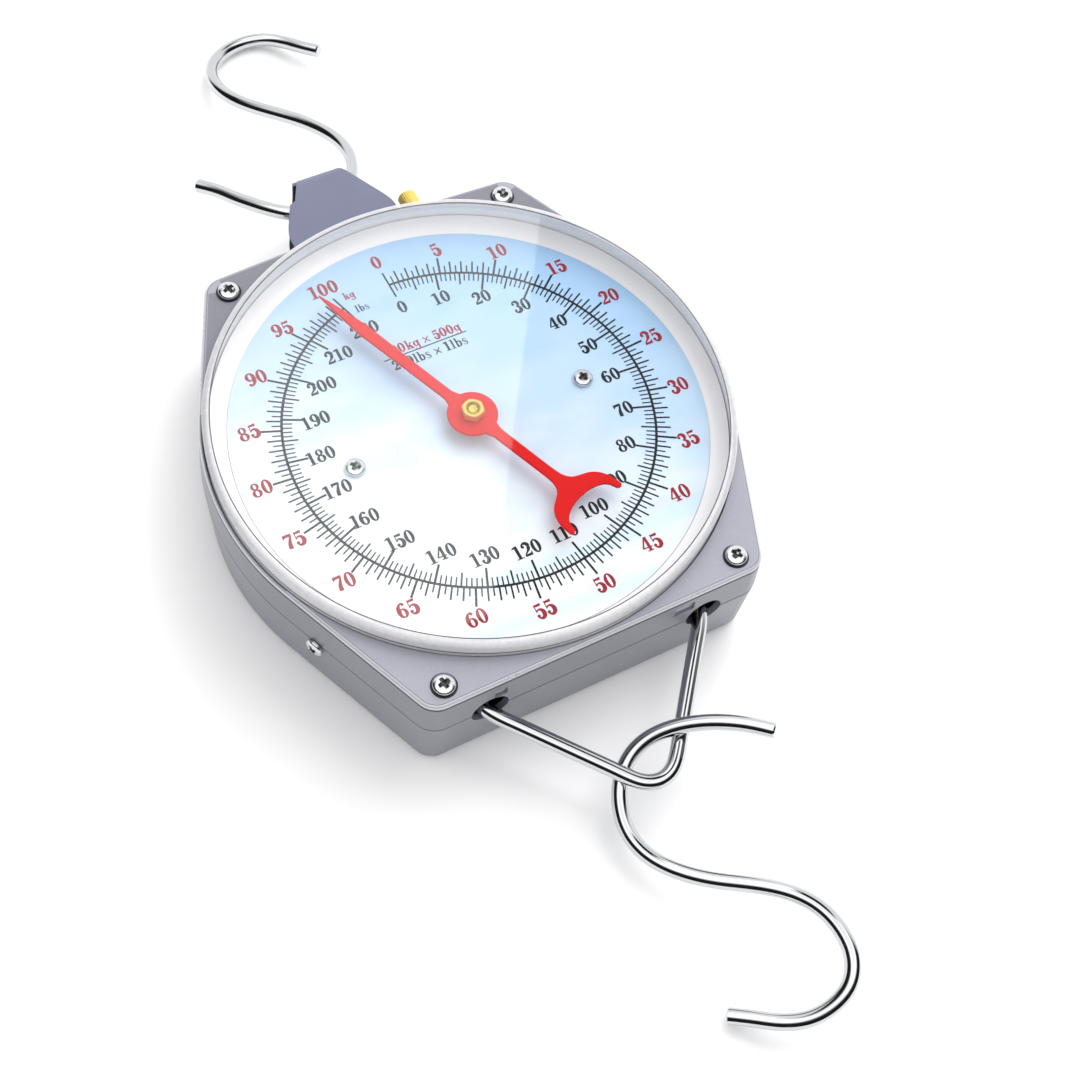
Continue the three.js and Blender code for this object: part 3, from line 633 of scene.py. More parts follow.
# front shell: skirt, fine groove under the rolled edge, rolled edge, flat plate with the round opening
lv = [(Z_SEAM + 0.2, 0.25), (Z_SEAM + 0.45, 0.05), (Z_SEAM + 0.75, 0.02), (44.9, 0.66), (45.2, 0.80), (45.4, 1.10), (45.75, 1.10), (45.95, 0.78)]
for i in range(0, 9):
    a = i / 8 * math.pi / 2
    lv.append((46.2 + 1.8 * math.sin(a), 0.72 + 1.9 * (1 - math.cos(a))))
front = stacked("case_front", lv)
cuts = [stacked("inner", [(Z_SEAM - 1, 2.4), (45.4, 3.1)])]
cuts += [rod(101.85, (0, 0, 40), (0, 0, 60), 300)]
cuts += [rod(7.5, (s * 45, -112, 30), (s * 45, -96, 30)) for s in (1, -1)]
cuts += [block(-24.5, 24.5, 96, 112, 23.3, 35.7)]
cuts += [rod(2.7, (28.4, 84, 38), (28.4, 112, 38), 32)]
NOTCHES = [(31.0, 39.4, 37.8, 42.8), (-43.6, -38.6, 37.4, 41.8)]
for x0, x1, z0, z1 in NOTCHES:
    cuts.append(block(x0, x1, -106, -103.0, z0, z1))
for x, y in case_screws.values():
    cuts.append(rod(2.4, (x, y, 20), (x, y, 60), 32))
    cuts.append(rod(4.95, (x, y, 47.2), (x, y, 60), 64))
boolean(front, cuts)
for key in ("paint", "edge_painted_highlight", "groove_painted_shade", "top_painted_light"):
    front.data.materials.append(M[key])
for p in front.data.polygons:
    c = p.center / MM
    # painted highlight: the notch's inner face gets the light paint
    if c.y < -102.5 and abs(c.y + 103.0) < 0.02 and any(x0 <= c.x <= x1 and z0 <= c.z <= z1 for x0, x1, z0, z1 in NOTCHES):
        p.material_index = 1
    # painted shade: the counterbore walls round the screw heads get the dark paint
    elif any(math.hypot(c.x - x, c.y - y) < 5.2 for x, y in case_screws.values()):
        p.material_index = 2 if c.z < 47.9 and c.z > 46 else 0
    # painted shade: the fine groove under the rolled edge gets the dark paint
    elif 44.95 < c.z < 45.98 and abs(p.normal.z) < 0.99 and p.normal.xy.dot(Vector((c.x, c.y))) > -1e9 and math.hypot(c.x, c.y) > 101.95:
        p.material_index = 2 if 45.15 < c.z < 45.95 else 0
    # painted highlight: the rolled edge's fillet gets the light paint
    elif 46.3 < c.z < 47.97 and 0.15 < p.normal.z < 0.96 and math.hypot(c.x, c.y) > 102.2:
        p.material_index = 1
    # painted light: the flat top plate gets the lighter copy of the paint
    elif c.z > 47.97 and p.normal.z > 0.96:
        p.material_index = 3
weighted(front)
place(front, "paint", "case", "case_paint", "front_shell")

# ---------------------------------------------------------------- screws
def cross_recess(head_r, top, depth):
    """Tapered cross-shaped punch for a cross-slot screw, pointing down from z = top."""
    w0, l0 = head_r * 0.20, head_r * 0.64
    w1, l1 = head_r * 0.10, head_r * 0.24
    def ring(w, l, z):
        pts = []
        for k in range(4):
            a = k * math.pi / 2
            c, s = math.cos(a), math.sin(a)
            for px, py in ((w * 1.35, w * 1.35), (w, l), (-w, l)):
                if (px, py) == (w * 1.35, w * 1.35):
                    px, py = w * 1.2, w * 1.2
                pts.append((c * px - s * py, s * px + c * py, z))
        return pts
    A, B = ring(w0, l0, top + 0.3), ring(w1, l1, top - depth)
    n = len(A)
    faces = [list(range(n)), list(range(2 * n - 1, n - 1, -1))]
    for i in range(n):
        j = (i + 1) % n
        faces.append([i, j, n + j, n + i])
    return mesh_from("cross", A + B, faces)


def pan_screw(name, head_r, head_h, shank_r, length, turn=0.3):
    """Pan-head cross-slot screw, underside of the head at z = 0, head up."""
    prof = [(0, -length), (shank_r * 0.55, -length), (shank_r, -length + shank_r * 0.6)]
    pitch = shank_r * 0.36
    z = -length + shank_r * 0.6
    while z + pitch < -1.2:
        prof += [(shank_r * 0.86, z + pitch * 0.5), (shank_r, z + pitch)]
        z += pitch
    prof += [(shank_r, -0.4), (shank_r, 0), (head_r - 0.15, 0), (head_r, 0.15), (head_r, head_h * 0.42)]
    for i in range(1, 13):
        a = i / 12 * math.pi / 2
        prof.append((head_r * (1 - (1 - math.cos(a)) ** 1.0 * 1.0) if i < 12 else 0, head_h * 0.42 + head_h * 0.58 * math.sin(a) ** 0.9))
    o = lathe(name, prof, 72)
    boolean(o, [cross_recess(head_r, head_h, head_h * 0.75)], sharp=30)
    o.data.materials.append(M["zinc"])
    o.data.materials.append(M["recess"])
    # painted shade: the faces inside the cross slot get the darker metal
    for p in o.data.polygons:
        c = p.center / MM
        rr = math.hypot(c.x, c.y)
        if c.z > head_h * 0.1 and rr < head_r * 0.66 and (p.normal.z < 0.55 or c.z < head_h * 0.45):
            p.material_index = 1
    o.data.transform(Matrix.Rotation(turn, 4, "Z"))
    weighted(o)
    return o


turns = {"low_right": 0.55, "low_left": 0.15, "top_right": 0.9, "top_left": 0.35}
for tag, (x, y) in case_screws.items():
    o = pan_screw("case_screw_" + tag + "_head", 4.2, 2.5, 2.0, 33.6, turns[tag])
    o.data.transform(Matrix.Translation((x * MM, y * MM, (Z_PLATE + 0.08) * MM)))
    place(o, "zinc", "case", "zinc_screw", "case_screw_" + tag)
for tag, s in (("right", 1), ("left", -1)):
    n = Vector((s * SIDE_N.x, SIDE_N.y, 0))
    o = pan_screw("side_screw_" + tag + "_head", 3.7, 2.2, 1.5, 8, 0.5)
    o.data.transform(Matrix.Translation((Vector((s * 90.0, -53.9, 27.6)) + n * 0.3) * MM) @ n.to_track_quat("Z", "Y").to_matrix().to_4x4())
    place(o, "zinc", "case", "zinc_screw", "side_screw_" + tag)
    o = pan_screw("dial_screw_" + tag + "_head", 3.9, 2.3, 1.5, 8, 0.2 if s > 0 else 0.7)
    o.data.transform(Matrix.Translation((s * 49.07 * MM, 0, 43.12 * MM)))
    place(o, "zinc", "case", "zinc_screw", "dial_screw_" + tag)

# ---------------------------------------------------------------- clear cover and pale ring
R_LENS, Z_LENS = 101.4, 55.6
top = [(0, Z_LENS), (60, Z_LENS), (98.15, Z_LENS), (98.25, Z_LENS - 0.08), (98.5, Z_LENS - 0.08), (98.6, Z_LENS)]
rim = []
for i in range(1, 9):
    a = i / 8 * math.pi / 2
    rim.append((98.6 + 2.8 * math.sin(a), Z_LENS - 1.9 * (1 - math.cos(a))))
wall = [(R_LENS, 50.3), (R_LENS - 0.1, 50.2), (R_LENS - 0.1, 49.6), (R_LENS, 49.5), (R_LENS, 44.2), (R_LENS - 0.2, 44.0), (R_LENS - 1.4, 44.0), (R_LENS - 1.6, 44.2), (R_LENS - 1.6, Z_LENS - 3.0)]
inner = []
for i in range(1, 7):
    a = i / 6 * math.pi / 2
    inner.append((R_LENS - 1.6 - 1.4 * (1 - math.cos(a)), Z_LENS - 3.0 + 1.4 * math.sin(a)))
lens = lathe("clear_cover", top + rim + wall + inner + [(60, Z_LENS - 1.6), (0, Z_LENS - 1.6)], 256)
lens.data.materials.append(M["lens"])
lens.data.materials.append(M["lens_wall"])
lens.data.materials.append(M["cover_line_painted_shade"])
lens.data.materials.append(M["lens_inner"])
for p in lens.data.polygons:
    c = p.center
    if math.hypot(c.x, c.y) > 0.0986:
        # painted light: the inner wall faces get the whiter copy
        p.material_index = 3 if math.hypot(c.x, c.y) < 0.10005 and c.z < 0.05405 else 1
    # painted shade: the fine groove on the top and the groove round the wall get the dark grey
    if (0.09812 < math.hypot(c.x, c.y) < 0.09862 and c.z > 0.055) or (math.hypot(c.x, c.y) > 0.1012 and 0.04948 < c.z < 0.05032):
        p.material_index = 2
weighted(lens)
place(lens, M["lens"], "case", "lens", "cover_lens")

ring = [(92.8, 40.7), (101.2, 40.7), (101.2, 43.7), (99.2, 43.7), (99.4, 46.6)]
for i in range(1, 11):
    f = i / 10
    ring.append((99.4 - 6.6 * f, 42.6 + 4.0 * (1 - f) ** 1.8))
pale = lathe("pale_ring", ring, 256)
place(weighted(pale), "surround", "case", "surround", "dial_surround")

# ---------------------------------------------------------------- dial plate and print
circle = [(92.68 * math.cos(2 * math.pi * i / 240), 92.68 * math.sin(2 * math.pi * i / 240)) for i in range(240)]
dial = plate_from("dial_face", circle, 42.2, 43.0, [(0, 0, 5.2), (49.07, 0, 1.9), (-49.07, 0, 1.9)], edge=0.12, seg=2)
place(dial, "dial", "case", "dial", "dial_plate")

# glyph outlines at cap height 1: lists of convex-ish faces that are merged into one shape
def stroke(points, widths, least=0.10):
    P = [Vector(p) for p in points]
    if not hasattr(widths, "__len__"):
        widths = [widths] * len(P)
    # finer line through the points
    if len(P) > 2:
        C = centripetal([(p.x, p.y, 0) for p in P], 6)
        W = np.interp(np.linspace(0, len(P) - 1, len(C)), range(len(P)), widths)
        P, widths = [Vector((c[0], c[1])) for c in C], list(W)
    widths = [max(least, w * 1.26) for w in widths]
    L, R = [], []
    for i, p in enumerate(P):
        t = (P[min(i + 1, len(P) - 1)] - P[max(i - 1, 0)]).normalized()
        n = Vector((-t.y, t.x)) * widths[i] / 2
        L.append(p + n)
        R.append(p - n)
    return [[tuple(R[i]), tuple(R[i + 1]), tuple(L[i + 1]), tuple(L[i])] for i in range(len(P) - 1)]


def arc_pts(cx, cy, rx, ry, a0, a1, n=9):
    return [(cx + rx * math.cos(math.radians(a0 + (a1 - a0) * i / n)), cy + ry * math.sin(math.radians(a0 + (a1 - a0) * i / n))) for i in range(n + 1)]


def ring_faces(cx, cy, ro, rio, n=30):
    rio = (rio[0] * 0.82, rio[1] * 0.92)
    o = [(cx + ro[0] * math.cos(2 * math.pi * i / n), cy + ro[1] * math.sin(2 * math.pi * i / n)) for i in range(n)]
    q = [(cx + rio[0] * math.cos(2 * math.pi * i / n), cy + rio[1] * math.sin(2 * math.pi * i / n)) for i in range(n)]
    return [[q[i], o[i], o[(i + 1) % n], q[(i + 1) % n]] for i in range(n)]


def ball(cx, cy, r, n=14):
    return [[(cx + r * math.cos(2 * math.pi * i / n), cy + r * math.sin(2 * math.pi * i / n)) for i in range(n)]]


def rect(x0, y0, x1, y1):
    return [[(x0, y0), (x1, y0), (x1, y1), (x0, y1)]]


def flipped(faces, cx, cy):
    return [[(2 * cx - x, 2 * cy - y) for x, y in f] for f in faces]


def widths_bell(n, lo, hi, peak=0.5, power=1.0):
    out = []
    for i in range(n):
        t = i / (n - 1)
        u = t / peak if t < peak else (1 - t) / (1 - peak)
        out.append(lo + (hi - lo) * math.sin(max(0, min(1, u)) * math.pi / 2) ** (1.6 * power))
    return out


SIX = ring_faces(0.32, 0.31, (0.30, 0.32), (0.115, 0.245)) + stroke([(0.12, 0.30), (0.115, 0.52), (0.17, 0.74), (0.30, 0.91), (0.47, 0.965)], [0.19, 0.20, 0.17, 0.10, 0.06]) + ball(0.475, 0.86, 0.095)
GLYPHS = {
    "0": (0.64, ring_faces(0.32, 0.5, (0.31, 0.51), (0.115, 0.445), 34)),
    "1": (0.58, rect(0.20, 0.0, 0.41, 1.0) + [[(0.20, 1.0), (0.03, 0.90), (0.03, 0.83), (0.21, 0.86)]] + rect(0.05, 0.0, 0.56, 0.07)),
    "2": (0.63, ball(0.155, 0.745, 0.10) + stroke(arc_pts(0.30, 0.74, 0.215, 0.225, 185, -25, 9), widths_bell(10, 0.06, 0.20, 0.85)) + stroke([(0.495, 0.66), (0.45, 0.50), (0.32, 0.35), (0.17, 0.21), (0.09, 0.07)], [0.20, 0.17, 0.10, 0.07, 0.07]) + [[(0.05, 0.0), (0.56, 0.0), (0.60, 0.29), (0.545, 0.29), (0.49, 0.185), (0.05, 0.15)]]),
    "3": (0.63, ball(0.145, 0.775, 0.095) + stroke(arc_pts(0.29, 0.745, 0.20, 0.225, 170, -88, 11), widths_bell(12, 0.06, 0.19, 0.62)) + stroke(arc_pts(0.29, 0.275, 0.225, 0.25, 88, -170, 11), widths_bell(12, 0.06, 0.21, 0.42)) + ball(0.135, 0.235, 0.10)),
    "4": (0.68, rect(0.36, 0.0, 0.55, 1.0) + rect(0.24, 0.0, 0.65, 0.07) + stroke([(0.42, 0.98), (0.06, 0.30)], 0.075) + rect(0.02, 0.235, 0.66, 0.315)),
    "5": (0.63, [[(0.10, 0.99), (0.14, 0.96), (0.54, 0.99), (0.50, 0.80), (0.12, 0.82)]] + rect(0.095, 0.46, 0.155, 0.98) + stroke([(0.11, 0.49)] + arc_pts(0.29, 0.315, 0.225, 0.29, 120, -168, 11), [0.06] + widths_bell(12, 0.06, 0.21, 0.45)) + ball(0.135, 0.225, 0.10)),
    "6": (0.64, SIX),
    "7": (0.62, [[(0.06, 1.0), (0.05, 0.70), (0.105, 0.70), (0.15, 0.80), (0.58, 0.83), (0.58, 1.0)]] + stroke([(0.545, 0.90), (0.42, 0.60), (0.32, 0.32), (0.28, 0.0)], [0.08, 0.13, 0.19, 0.21])),
    "8": (0.64, ring_faces(0.32, 0.755, (0.25, 0.25), (0.105, 0.185)) + ring_faces(0.32, 0.275, (0.30, 0.285), (0.125, 0.215))),
    "9": (0.64, flipped(SIX, 0.32, 0.5)),
    "k": (0.68, rect(0.12, 0.0, 0.28, 1.0) + rect(0.03, 0.0, 0.37, 0.06) + rect(0.03, 0.94, 0.2, 1.0) + stroke([(0.26, 0.28), (0.56, 0.64)], 0.065) + stroke([(0.36, 0.42), (0.59, 0.03)], 0.16) + rect(0.43, 0.0, 0.70, 0.06) + rect(0.40, 0.60, 0.66, 0.66)),
    "g": (0.62, ring_faces(0.28, 0.36, (0.25, 0.31), (0.105, 0.24)) + rect(0.42, -0.14, 0.56, 0.66) + stroke([(0.49, -0.12), (0.42, -0.25), (0.27, -0.29), (0.10, -0.22)], [0.14, 0.10, 0.07, 0.07]) + ball(0.13, -0.18, 0.075) + rect(0.42, 0.60, 0.64, 0.66)),
    "l": (0.38, rect(0.12, 0.0, 0.28, 1.0) + rect(0.03, 0.0, 0.37, 0.06) + rect(0.03, 0.94, 0.2, 1.0)),
    "b": (0.64, rect(0.10, 0.0, 0.25, 1.0) + rect(0.02, 0.94, 0.2, 1.0) + ring_faces(0.35, 0.33, (0.26, 0.335), (0.105, 0.265))),
    "s": (0.52, stroke([(0.43, 0.50), (0.37, 0.61), (0.25, 0.655), (0.13, 0.60), (0.10, 0.49), (0.19, 0.40), (0.33, 0.31), (0.42, 0.20), (0.38, 0.07), (0.25, 0.01), (0.12, 0.06), (0.06, 0.18)], [0.04, 0.04, 0.05, 0.07, 0.085, 0.10, 0.10, 0.085, 0.07, 0.05, 0.04, 0.04], 0.04)),
    "X": (0.74, stroke([(0.10, 0.08), (0.62, 0.68)], 0.075) + stroke([(0.10, 0.68), (0.62, 0.08)], 0.075)),
    " ": (0.24, []),
}
_glyph_cache = {}


def glyph(ch):
    """Merged triangles of one glyph: (vertices, triangles)."""
    if ch not in _glyph_cache:
        faces = GLYPHS[ch][1]
        vs, fs = [], []
        for f in faces:
            area = sum(f[i - 1][0] * f[i][1] - f[i][0] * f[i - 1][1] for i in range(len(f)))
            if area < 0:
                f = f[::-1]
            fs.append(list(range(len(vs), len(vs) + len(f))))
            vs += [Vector(p) for p in f]
        if vs:
            co, _, tris, _, _, of = delaunay_2d_cdt(vs, [], fs, 0, 1e-5)
            keep = [t for t, o in zip(tris, of) if o]
            _glyph_cache[ch] = ([(v.x, v.y) for v in co], [list(t) for t in keep])
        else:
            _glyph_cache[ch] = ([], [])
    return _glyph_cache[ch]


def text_width(text):
    return sum(GLYPHS[c][0] for c in text) + 0.035 * (len(text) - 1)


class Ink:
    """Collects flat ink shapes and turns them into one thin layer."""

    def __init__(self):
        self.v, self.f = [], []

    def tris(self, pts, tris, z0, z1):
        n = len(self.v)
        m = len(pts)
        self.v += [(x, y, z1) for x, y in pts] + [(x, y, z0) for x, y in pts]
        edges = {}
        for t in tris:
            self.f.append([n + i for i in t])
            self.f.append([n + m + i for i in reversed(t)])
            for i in range(len(t)):
                a, b = t[i], t[(i + 1) % len(t)]
                if (b, a) in edges:
                    del edges[(b, a)]
                else:
                    edges[(a, b)] = True
        for a, b in edges:
            self.f.append([n + b, n + a, n + m + a, n + m + b])

    def text(self, text, cx, cy, size, z0=43.01, z1=43.05, stretch=1.0, turn=0.0):
        x = -text_width(text) / 2
        c, s = math.cos(turn), math.sin(turn)
        for ch in text:
            pts, tris = glyph(ch)
            if pts:
                q = [((x + px) * size * stretch, (py - 0.5) * size) for px, py in pts]
                self.tris([(cx + c * a - s * b, cy + s * a + c * b) for a, b in q], tris, z0, z1)
            x += GLYPHS[ch][0] + 0.035

    def line(self, x0, y0, x1, y1, w, z0=43.01, z1=43.045):
        d = Vector((x1 - x0, y1 - y0))
        n = Vector((-d.y, d.x)).normalized() * w / 2
        self.tris([(x0 + n.x, y0 + n.y), (x0 - n.x, y0 - n.y), (x1 - n.x, y1 - n.y), (x1 + n.x, y1 + n.y)], [[0, 1, 2, 3]], z0, z1)

    def arc(self, r, a0, a1, w, z0=43.012, z1=43.055, n=240):
        P = []
        for rr in (r - w / 2, r + w / 2):
            P.append([polar(rr, a0 + (a1 - a0) * i / n) for i in range(n + 1)])
        pts = P[0] + P[1]
        m = n + 1
        self.tris(pts, [[i, i + 1, m + i + 1, m + i] for i in range(n)], z0, z1)

    def make(self, name):
        me = bpy.data.meshes.new(name)
        me.from_pydata([(x * MM, y * MM, z * MM) for x, y, z in self.v], [], self.f)
        bm = bmesh.new()
        bm.from_mesh(me)
        loose = [v for v in bm.verts if not v.link_faces]
        bmesh.ops.delete(bm, geom=loose, context="VERTS")
        bmesh.ops.recalc_face_normals(bm, faces=bm.faces)
        bm.to_mesh(me)
        bm.free()
        me.update()
        return link(bpy.data.objects.new(name, me))


DIAL_C = (0.0, 0.6)
SPAN = 342.7
R_RING = 72.0


def polar(r, deg):
    a = math.radians(deg)
    return (DIAL_C[0] + r * math.sin(a), DIAL_C[1] + r * math.cos(a))


def radial(ink, deg, r0, r1, w, **k):
    x0, y0 = polar(r0, deg)
    x1, y1 = polar(r1, deg)
    ink.line(x0, y0, x1, y1, w, **k)


black, red, scale_lines = Ink(), Ink(), Ink()
scale_lines.arc(R_RING, 0, SPAN, 1.0)
for i in range(201):
    v = i / 2
    a = SPAN * v / 100
    if i in (0, 200):
        continue
    if i % 10 == 0:
        radial(scale_lines, a, R_RING, R_RING * 1.11, 0.88)
    elif i % 2 == 0:
        radial(scale_lines, a, R_RING, R_RING * 1.08, 0.70)
    else:
        radial(scale_lines, a, R_RING, R_RING * 1.052, 0.58)
for v in range(1, 220):
    a = SPAN * v / 220.462
    if v % 10 == 0:
        radial(scale_lines, a, R_RING * 0.888, R_RING, 0.88, z1=43.035)
    elif v % 5 == 0:
        radial(scale_lines, a, R_RING * 0.918, R_RING, 0.70, z1=43.035)
    else:
        radial(scale_lines, a, R_RING * 0.945, R_RING, 0.56, z1=43.035)
for a in (0, SPAN):
    radial(scale_lines, a, R_RING * 0.91, R_RING * 1.09, 0.72, z1=43.06)
for v in range(0, 101, 5):
    a = SPAN * v / 100
    x, y = polar(R_RING * 1.172, a)
    red.text(str(v), x, y, 6.3)
for v in range(0, 221, 10):
    a = SPAN * v / 220.462
    x, y = polar(R_RING * (0.822 if v >= 100 else 0.836), a)
    black.text(str(v), x, y, 5.8)
# unit names beside the last line and the capacity lines
ux, uy = polar(R_RING * 1.055, SPAN + 4.4)
red.text("kg", ux, uy, 3.6)
ux, uy = polar(R_RING * 0.945, SPAN + 4.9)
black.text("lbs", ux, uy, 3.6)
red.text("100kg X 500g", 0.2, 43.1, 4.5)
black.line(-18.0, 39.7, 18.0, 39.7, 0.5)
black.text("220lbs X 1lbs", 0.2, 36.2, 4.5)
place(scale_lines.make("dial_scale_lines"), "ink_black", "case", None)
place(black.make("dial_numbers_inner"), "ink_black", "case", None)
place(red.make("dial_numbers_outer"), "ink_red", "case", None)

# ---------------------------------------------------------------- pointer
half = [(0.0, 80.6), (0.75, 75.5), (2.55, 57.0), (2.45, 50), (2.25, 30), (2.2, 12.6), (2.9, 10.4)]
hub = [(9.8 * math.cos(math.radians(a)), 9.8 * math.sin(math.radians(a))) for a in np.linspace(71, -71, 40)]
tail = [(2.9, -10.6), (2.2, -12.8), (2.15, -38), (2.6, -42.5), (4.2, -45.6), (7.4, -47.6), (10.9, -49.6), (13.3, -52.6), (14.7, -56.6), (15.0, -60.9), (13.6, -61.9), (12.6, -61.2), (11.9, -58.6), (10.2, -56.4), (7.2, -54.8), (3.8, -53.9), (0, -53.6)]
upper = fillet([Vector(p).to_tuple() for p in [(0, 80.6)] + half[1:]], [0, 0, 6, 20, 30, 1.2, 0], closed=False, seg=6)
tail_s = centripetal([(x, y, 0) for x, y in tail[2:10]], 5)
tail_e = centripetal([(x, y, 0) for x, y in tail[10:]], 5)
right_side = upper + hub + [(2.9, -10.6), (2.35, -11.8), (2.2, -13.4)] + [(p[0], p[1]) for p in tail_s] + [(14.6, -61.6), (14.1, -61.95)] + [(p[0], p[1]) for p in tail_e]
clean_side = [right_side[0]]
for p in right_side[1:]:
    if math.hypot(p[0] - clean_side[-1][0], p[1] - clean_side[-1][1]) > 0.06:
        clean_side.append(p)
left_side = [(-x, y) for x, y in clean_side[1:-1]][::-1]
shape = clean_side + left_side
shape = shape[::-1]
pm = Matrix.Rotation(math.radians(21.8), 4, "Z")
pointer = plate_from("pointer_blade", shape, 48.5, 50.0, [(0, 0, 2.3)], edge=0.35, seg=3, matrix=pm)
place(pointer, "red", "pointer_arbor", "pointer_paint", "pointer")

# hexagon nut with chamfered top, and the threaded end of the arbor
hexa = [(4.62 * math.cos(math.pi / 3 * i), 4.62 * math.sin(math.pi / 3 * i)) for i in range(6)]
nv = [(x, y, 50.25) for x, y in hexa] + [(x, y, 53.4) for x, y in hexa]
nf = [[5, 4, 3, 2, 1, 0], [6, 7, 8, 9, 10, 11]] + [[i, (i + 1) % 6, 6 + (i + 1) % 6, 6 + i] for i in range(6)]
nut = mesh_from("pointer_hex_nut", nv, nf)
cone = lathe("cone", [(0, 49.5), (4.3, 49.5), (4.3, 50.25), (4.66, 50.6), (4.66, 52.75), (3.95, 53.4), (0, 53.4001)], 96)
boolean(nut, [cone], "INTERSECT")
bore = [(0, 49), (2.9, 49), (2.9, 50.4), (2.45, 50.9)]
z = 50.9
while z < 52.8:
    bore += [(2.3, z + 0.2), (2.5, z + 0.4)]
    z += 0.4
bore += [(2.5, 53.0), (2.95, 53.45), (2.95, 54), (0, 54)]
boolean(nut, [lathe("bore", bore, 64)])
mb = nut.modifiers.new("edge", "BEVEL")
mb.width, mb.segments, mb.limit_method, mb.angle_limit = 0.12 * MM, 2, "ANGLE", math.radians(55)
freeze(nut)
nut.data.transform(Matrix.Rotation(0.35, 4, "Z"))
place(weighted(nut), "brass", "pointer_arbor", "brass", "pointer_nut")
prof = [(0, 8.4), (1.7, 8.4), (2.0, 8.7), (2.0, 47.5)]
z = 47.5
while z < 52.2:
    prof += [(1.78, z + 0.25), (2.0, z + 0.5)]
    z += 0.5
prof += [(2.0, 52.3), (1.6, 52.85), (1.5, 52.9), (0.55, 52.9), (0.45, 52.75), (0.0, 52.55)]
place(weighted(lathe("arbor_shaft", prof, 72)), "brass", "pointer_arbor", "brass", "arbor")
place(weighted(lathe("pointer_boss", fillet([(2.3, 44.6), (4.2, 44.6), (4.2, 46.4), (5.6, 46.9), (5.6, 48.2), (2.3, 48.2)], [0.1, 0.2, 0.3, 0.3, 0.25, 0.1], seg=3), 72)), "brass", "pointer_arbor", "brass", "pointer_collar")

# ---------------------------------------------------------------- hanger strap
YC = 145.6 - 1.4 - 4.4
ZH = 29.5
path = []
mid = 4.4 + 0.7
for y in np.linspace(80, YC, 34):
    path.append((y, ZH - mid, 0))
for a in np.linspace(-90, 90, 25)[1:-1]:
    path.append((YC + mid * math.cos(math.radians(a)), ZH + mid * math.sin(math.radians(a)), 1))
for y in np.linspace(YC, 80, 34):
    path.append((y, ZH + mid, 0))


def strap_half(y):
    k = 23.9
    knee = 118.4
    slope = (9.75 - 23.9) / (145.6 - 118.4)
    s = 1.6
    d = (y - knee)
    soft = s * math.log1p(math.exp(min(50, d / s)))
    return k + slope * soft


verts, faces, nx = [], [], 25
for y, z, _ in path:
    w = strap_half(y)
    for k in range(nx):
        verts.append(((-1 + 2 * k / (nx - 1)) * w, y, z))
for i in range(len(path) - 1):
    for k in range(nx - 1):
        faces.append([i * nx + k, i * nx + k + 1, (i + 1) * nx + k + 1, (i + 1) * nx + k])
strap = mesh_from("strap_hanger", verts, faces, 40)
m = strap.modifiers.new("sheet", "SOLIDIFY")
m.thickness, m.offset, m.use_even_offset = 1.4 * MM, 0.0, True
m = strap.modifiers.new("edge", "BEVEL")
m.width, m.segments, m.limit_method, m.angle_limit = 0.4 * MM, 3, "ANGLE", math.radians(50)
freeze(strap, 40)
boolean(strap, [rod(2.8, (s * 14, 90, 15), (s * 14, 90, 45), 48) for s in (1, -1)], sharp=40)
d_edge = Vector((9.75 - 23.9, 118.4 - 145.6, 0)).normalized()
n_edge = Vector((-d_edge.y, d_edge.x, 0))
p0 = Vector((-9.75, 145.6, 0)) - d_edge * 6
prism = [p0 - n_edge * 4, p0 + n_edge * 2.0, p0 + d_edge * 19.0 + n_edge * 2.0, p0 + d_edge * 21.5 - n_edge * 0.2, p0 + d_edge * 21.5 - n_edge * 4]
n = len(prism)
pv = [(q.x, q.y, 31.6) for q in prism] + [(q.x, q.y, 42.0) for q in prism]
pf = [list(range(n)), list(range(2 * n - 1, n - 1, -1))] + [[i, (i + 1) % n, n + (i + 1) % n, n + i] for i in range(n)]
boolean(strap, [mesh_from("set_back", pv, pf)], sharp=40)
strap.data.materials.append(M["hanger_paint"])
strap.data.materials.append(M["dark_inside"])
# painted shade: faces inside the fold near its bend get the near-black material
for p in strap.data.polygons:
    c = p.center / MM
    r_in = math.hypot(c.y - YC, c.z - ZH) if c.y > YC else abs(c.z - ZH)
    if r_in < 4.62 and c.y > 117:
        p.material_index = 1
place(weighted(strap), "hanger_paint", "case", "hanger_paint", "hanger_bracket")

# zero adjuster: plain shank, collar and knurled head
def knurl(r, z, a):
    if 45.2 < z < 53.2:
        return r - 0.16 * (0.5 + 0.5 * math.cos(28 * a))
    return r


prof = fillet([(0, 0), (2.0, 0), (2.0, 42.2), (3.0, 42.2), (3.0, 43.6), (4.0, 44.4), (4.0, 45.0), (4.0, 45.5), (4.0, 53.0), (4.0, 53.6), (3.3, 54.4), (1.4, 54.4), (1.2, 53.6), (0, 53.5)],
              [0, 0.2, 0.1, 0.2, 0.2, 0.2, 0, 0, 0, 0.2, 0.3, 0.1, 0.1, 0], closed=False, seg=3)
knob = lathe("zero_knob", prof, 168, matrix=Matrix.Translation((28.4 * MM, 61.0 * MM, 38 * MM)) @ Matrix.Rotation(-math.pi / 2, 4, "X"), radius_of=knurl)
boolean(knob, [block(-0.45, 0.45, 53.2, 56, -4.5, 4.5, Matrix.Translation((28.4 * MM, 61.0 * MM, 38 * MM)))])
place(weighted(knob), "brass", "zero_adjuster", "brass", "zero_adjust_screw")

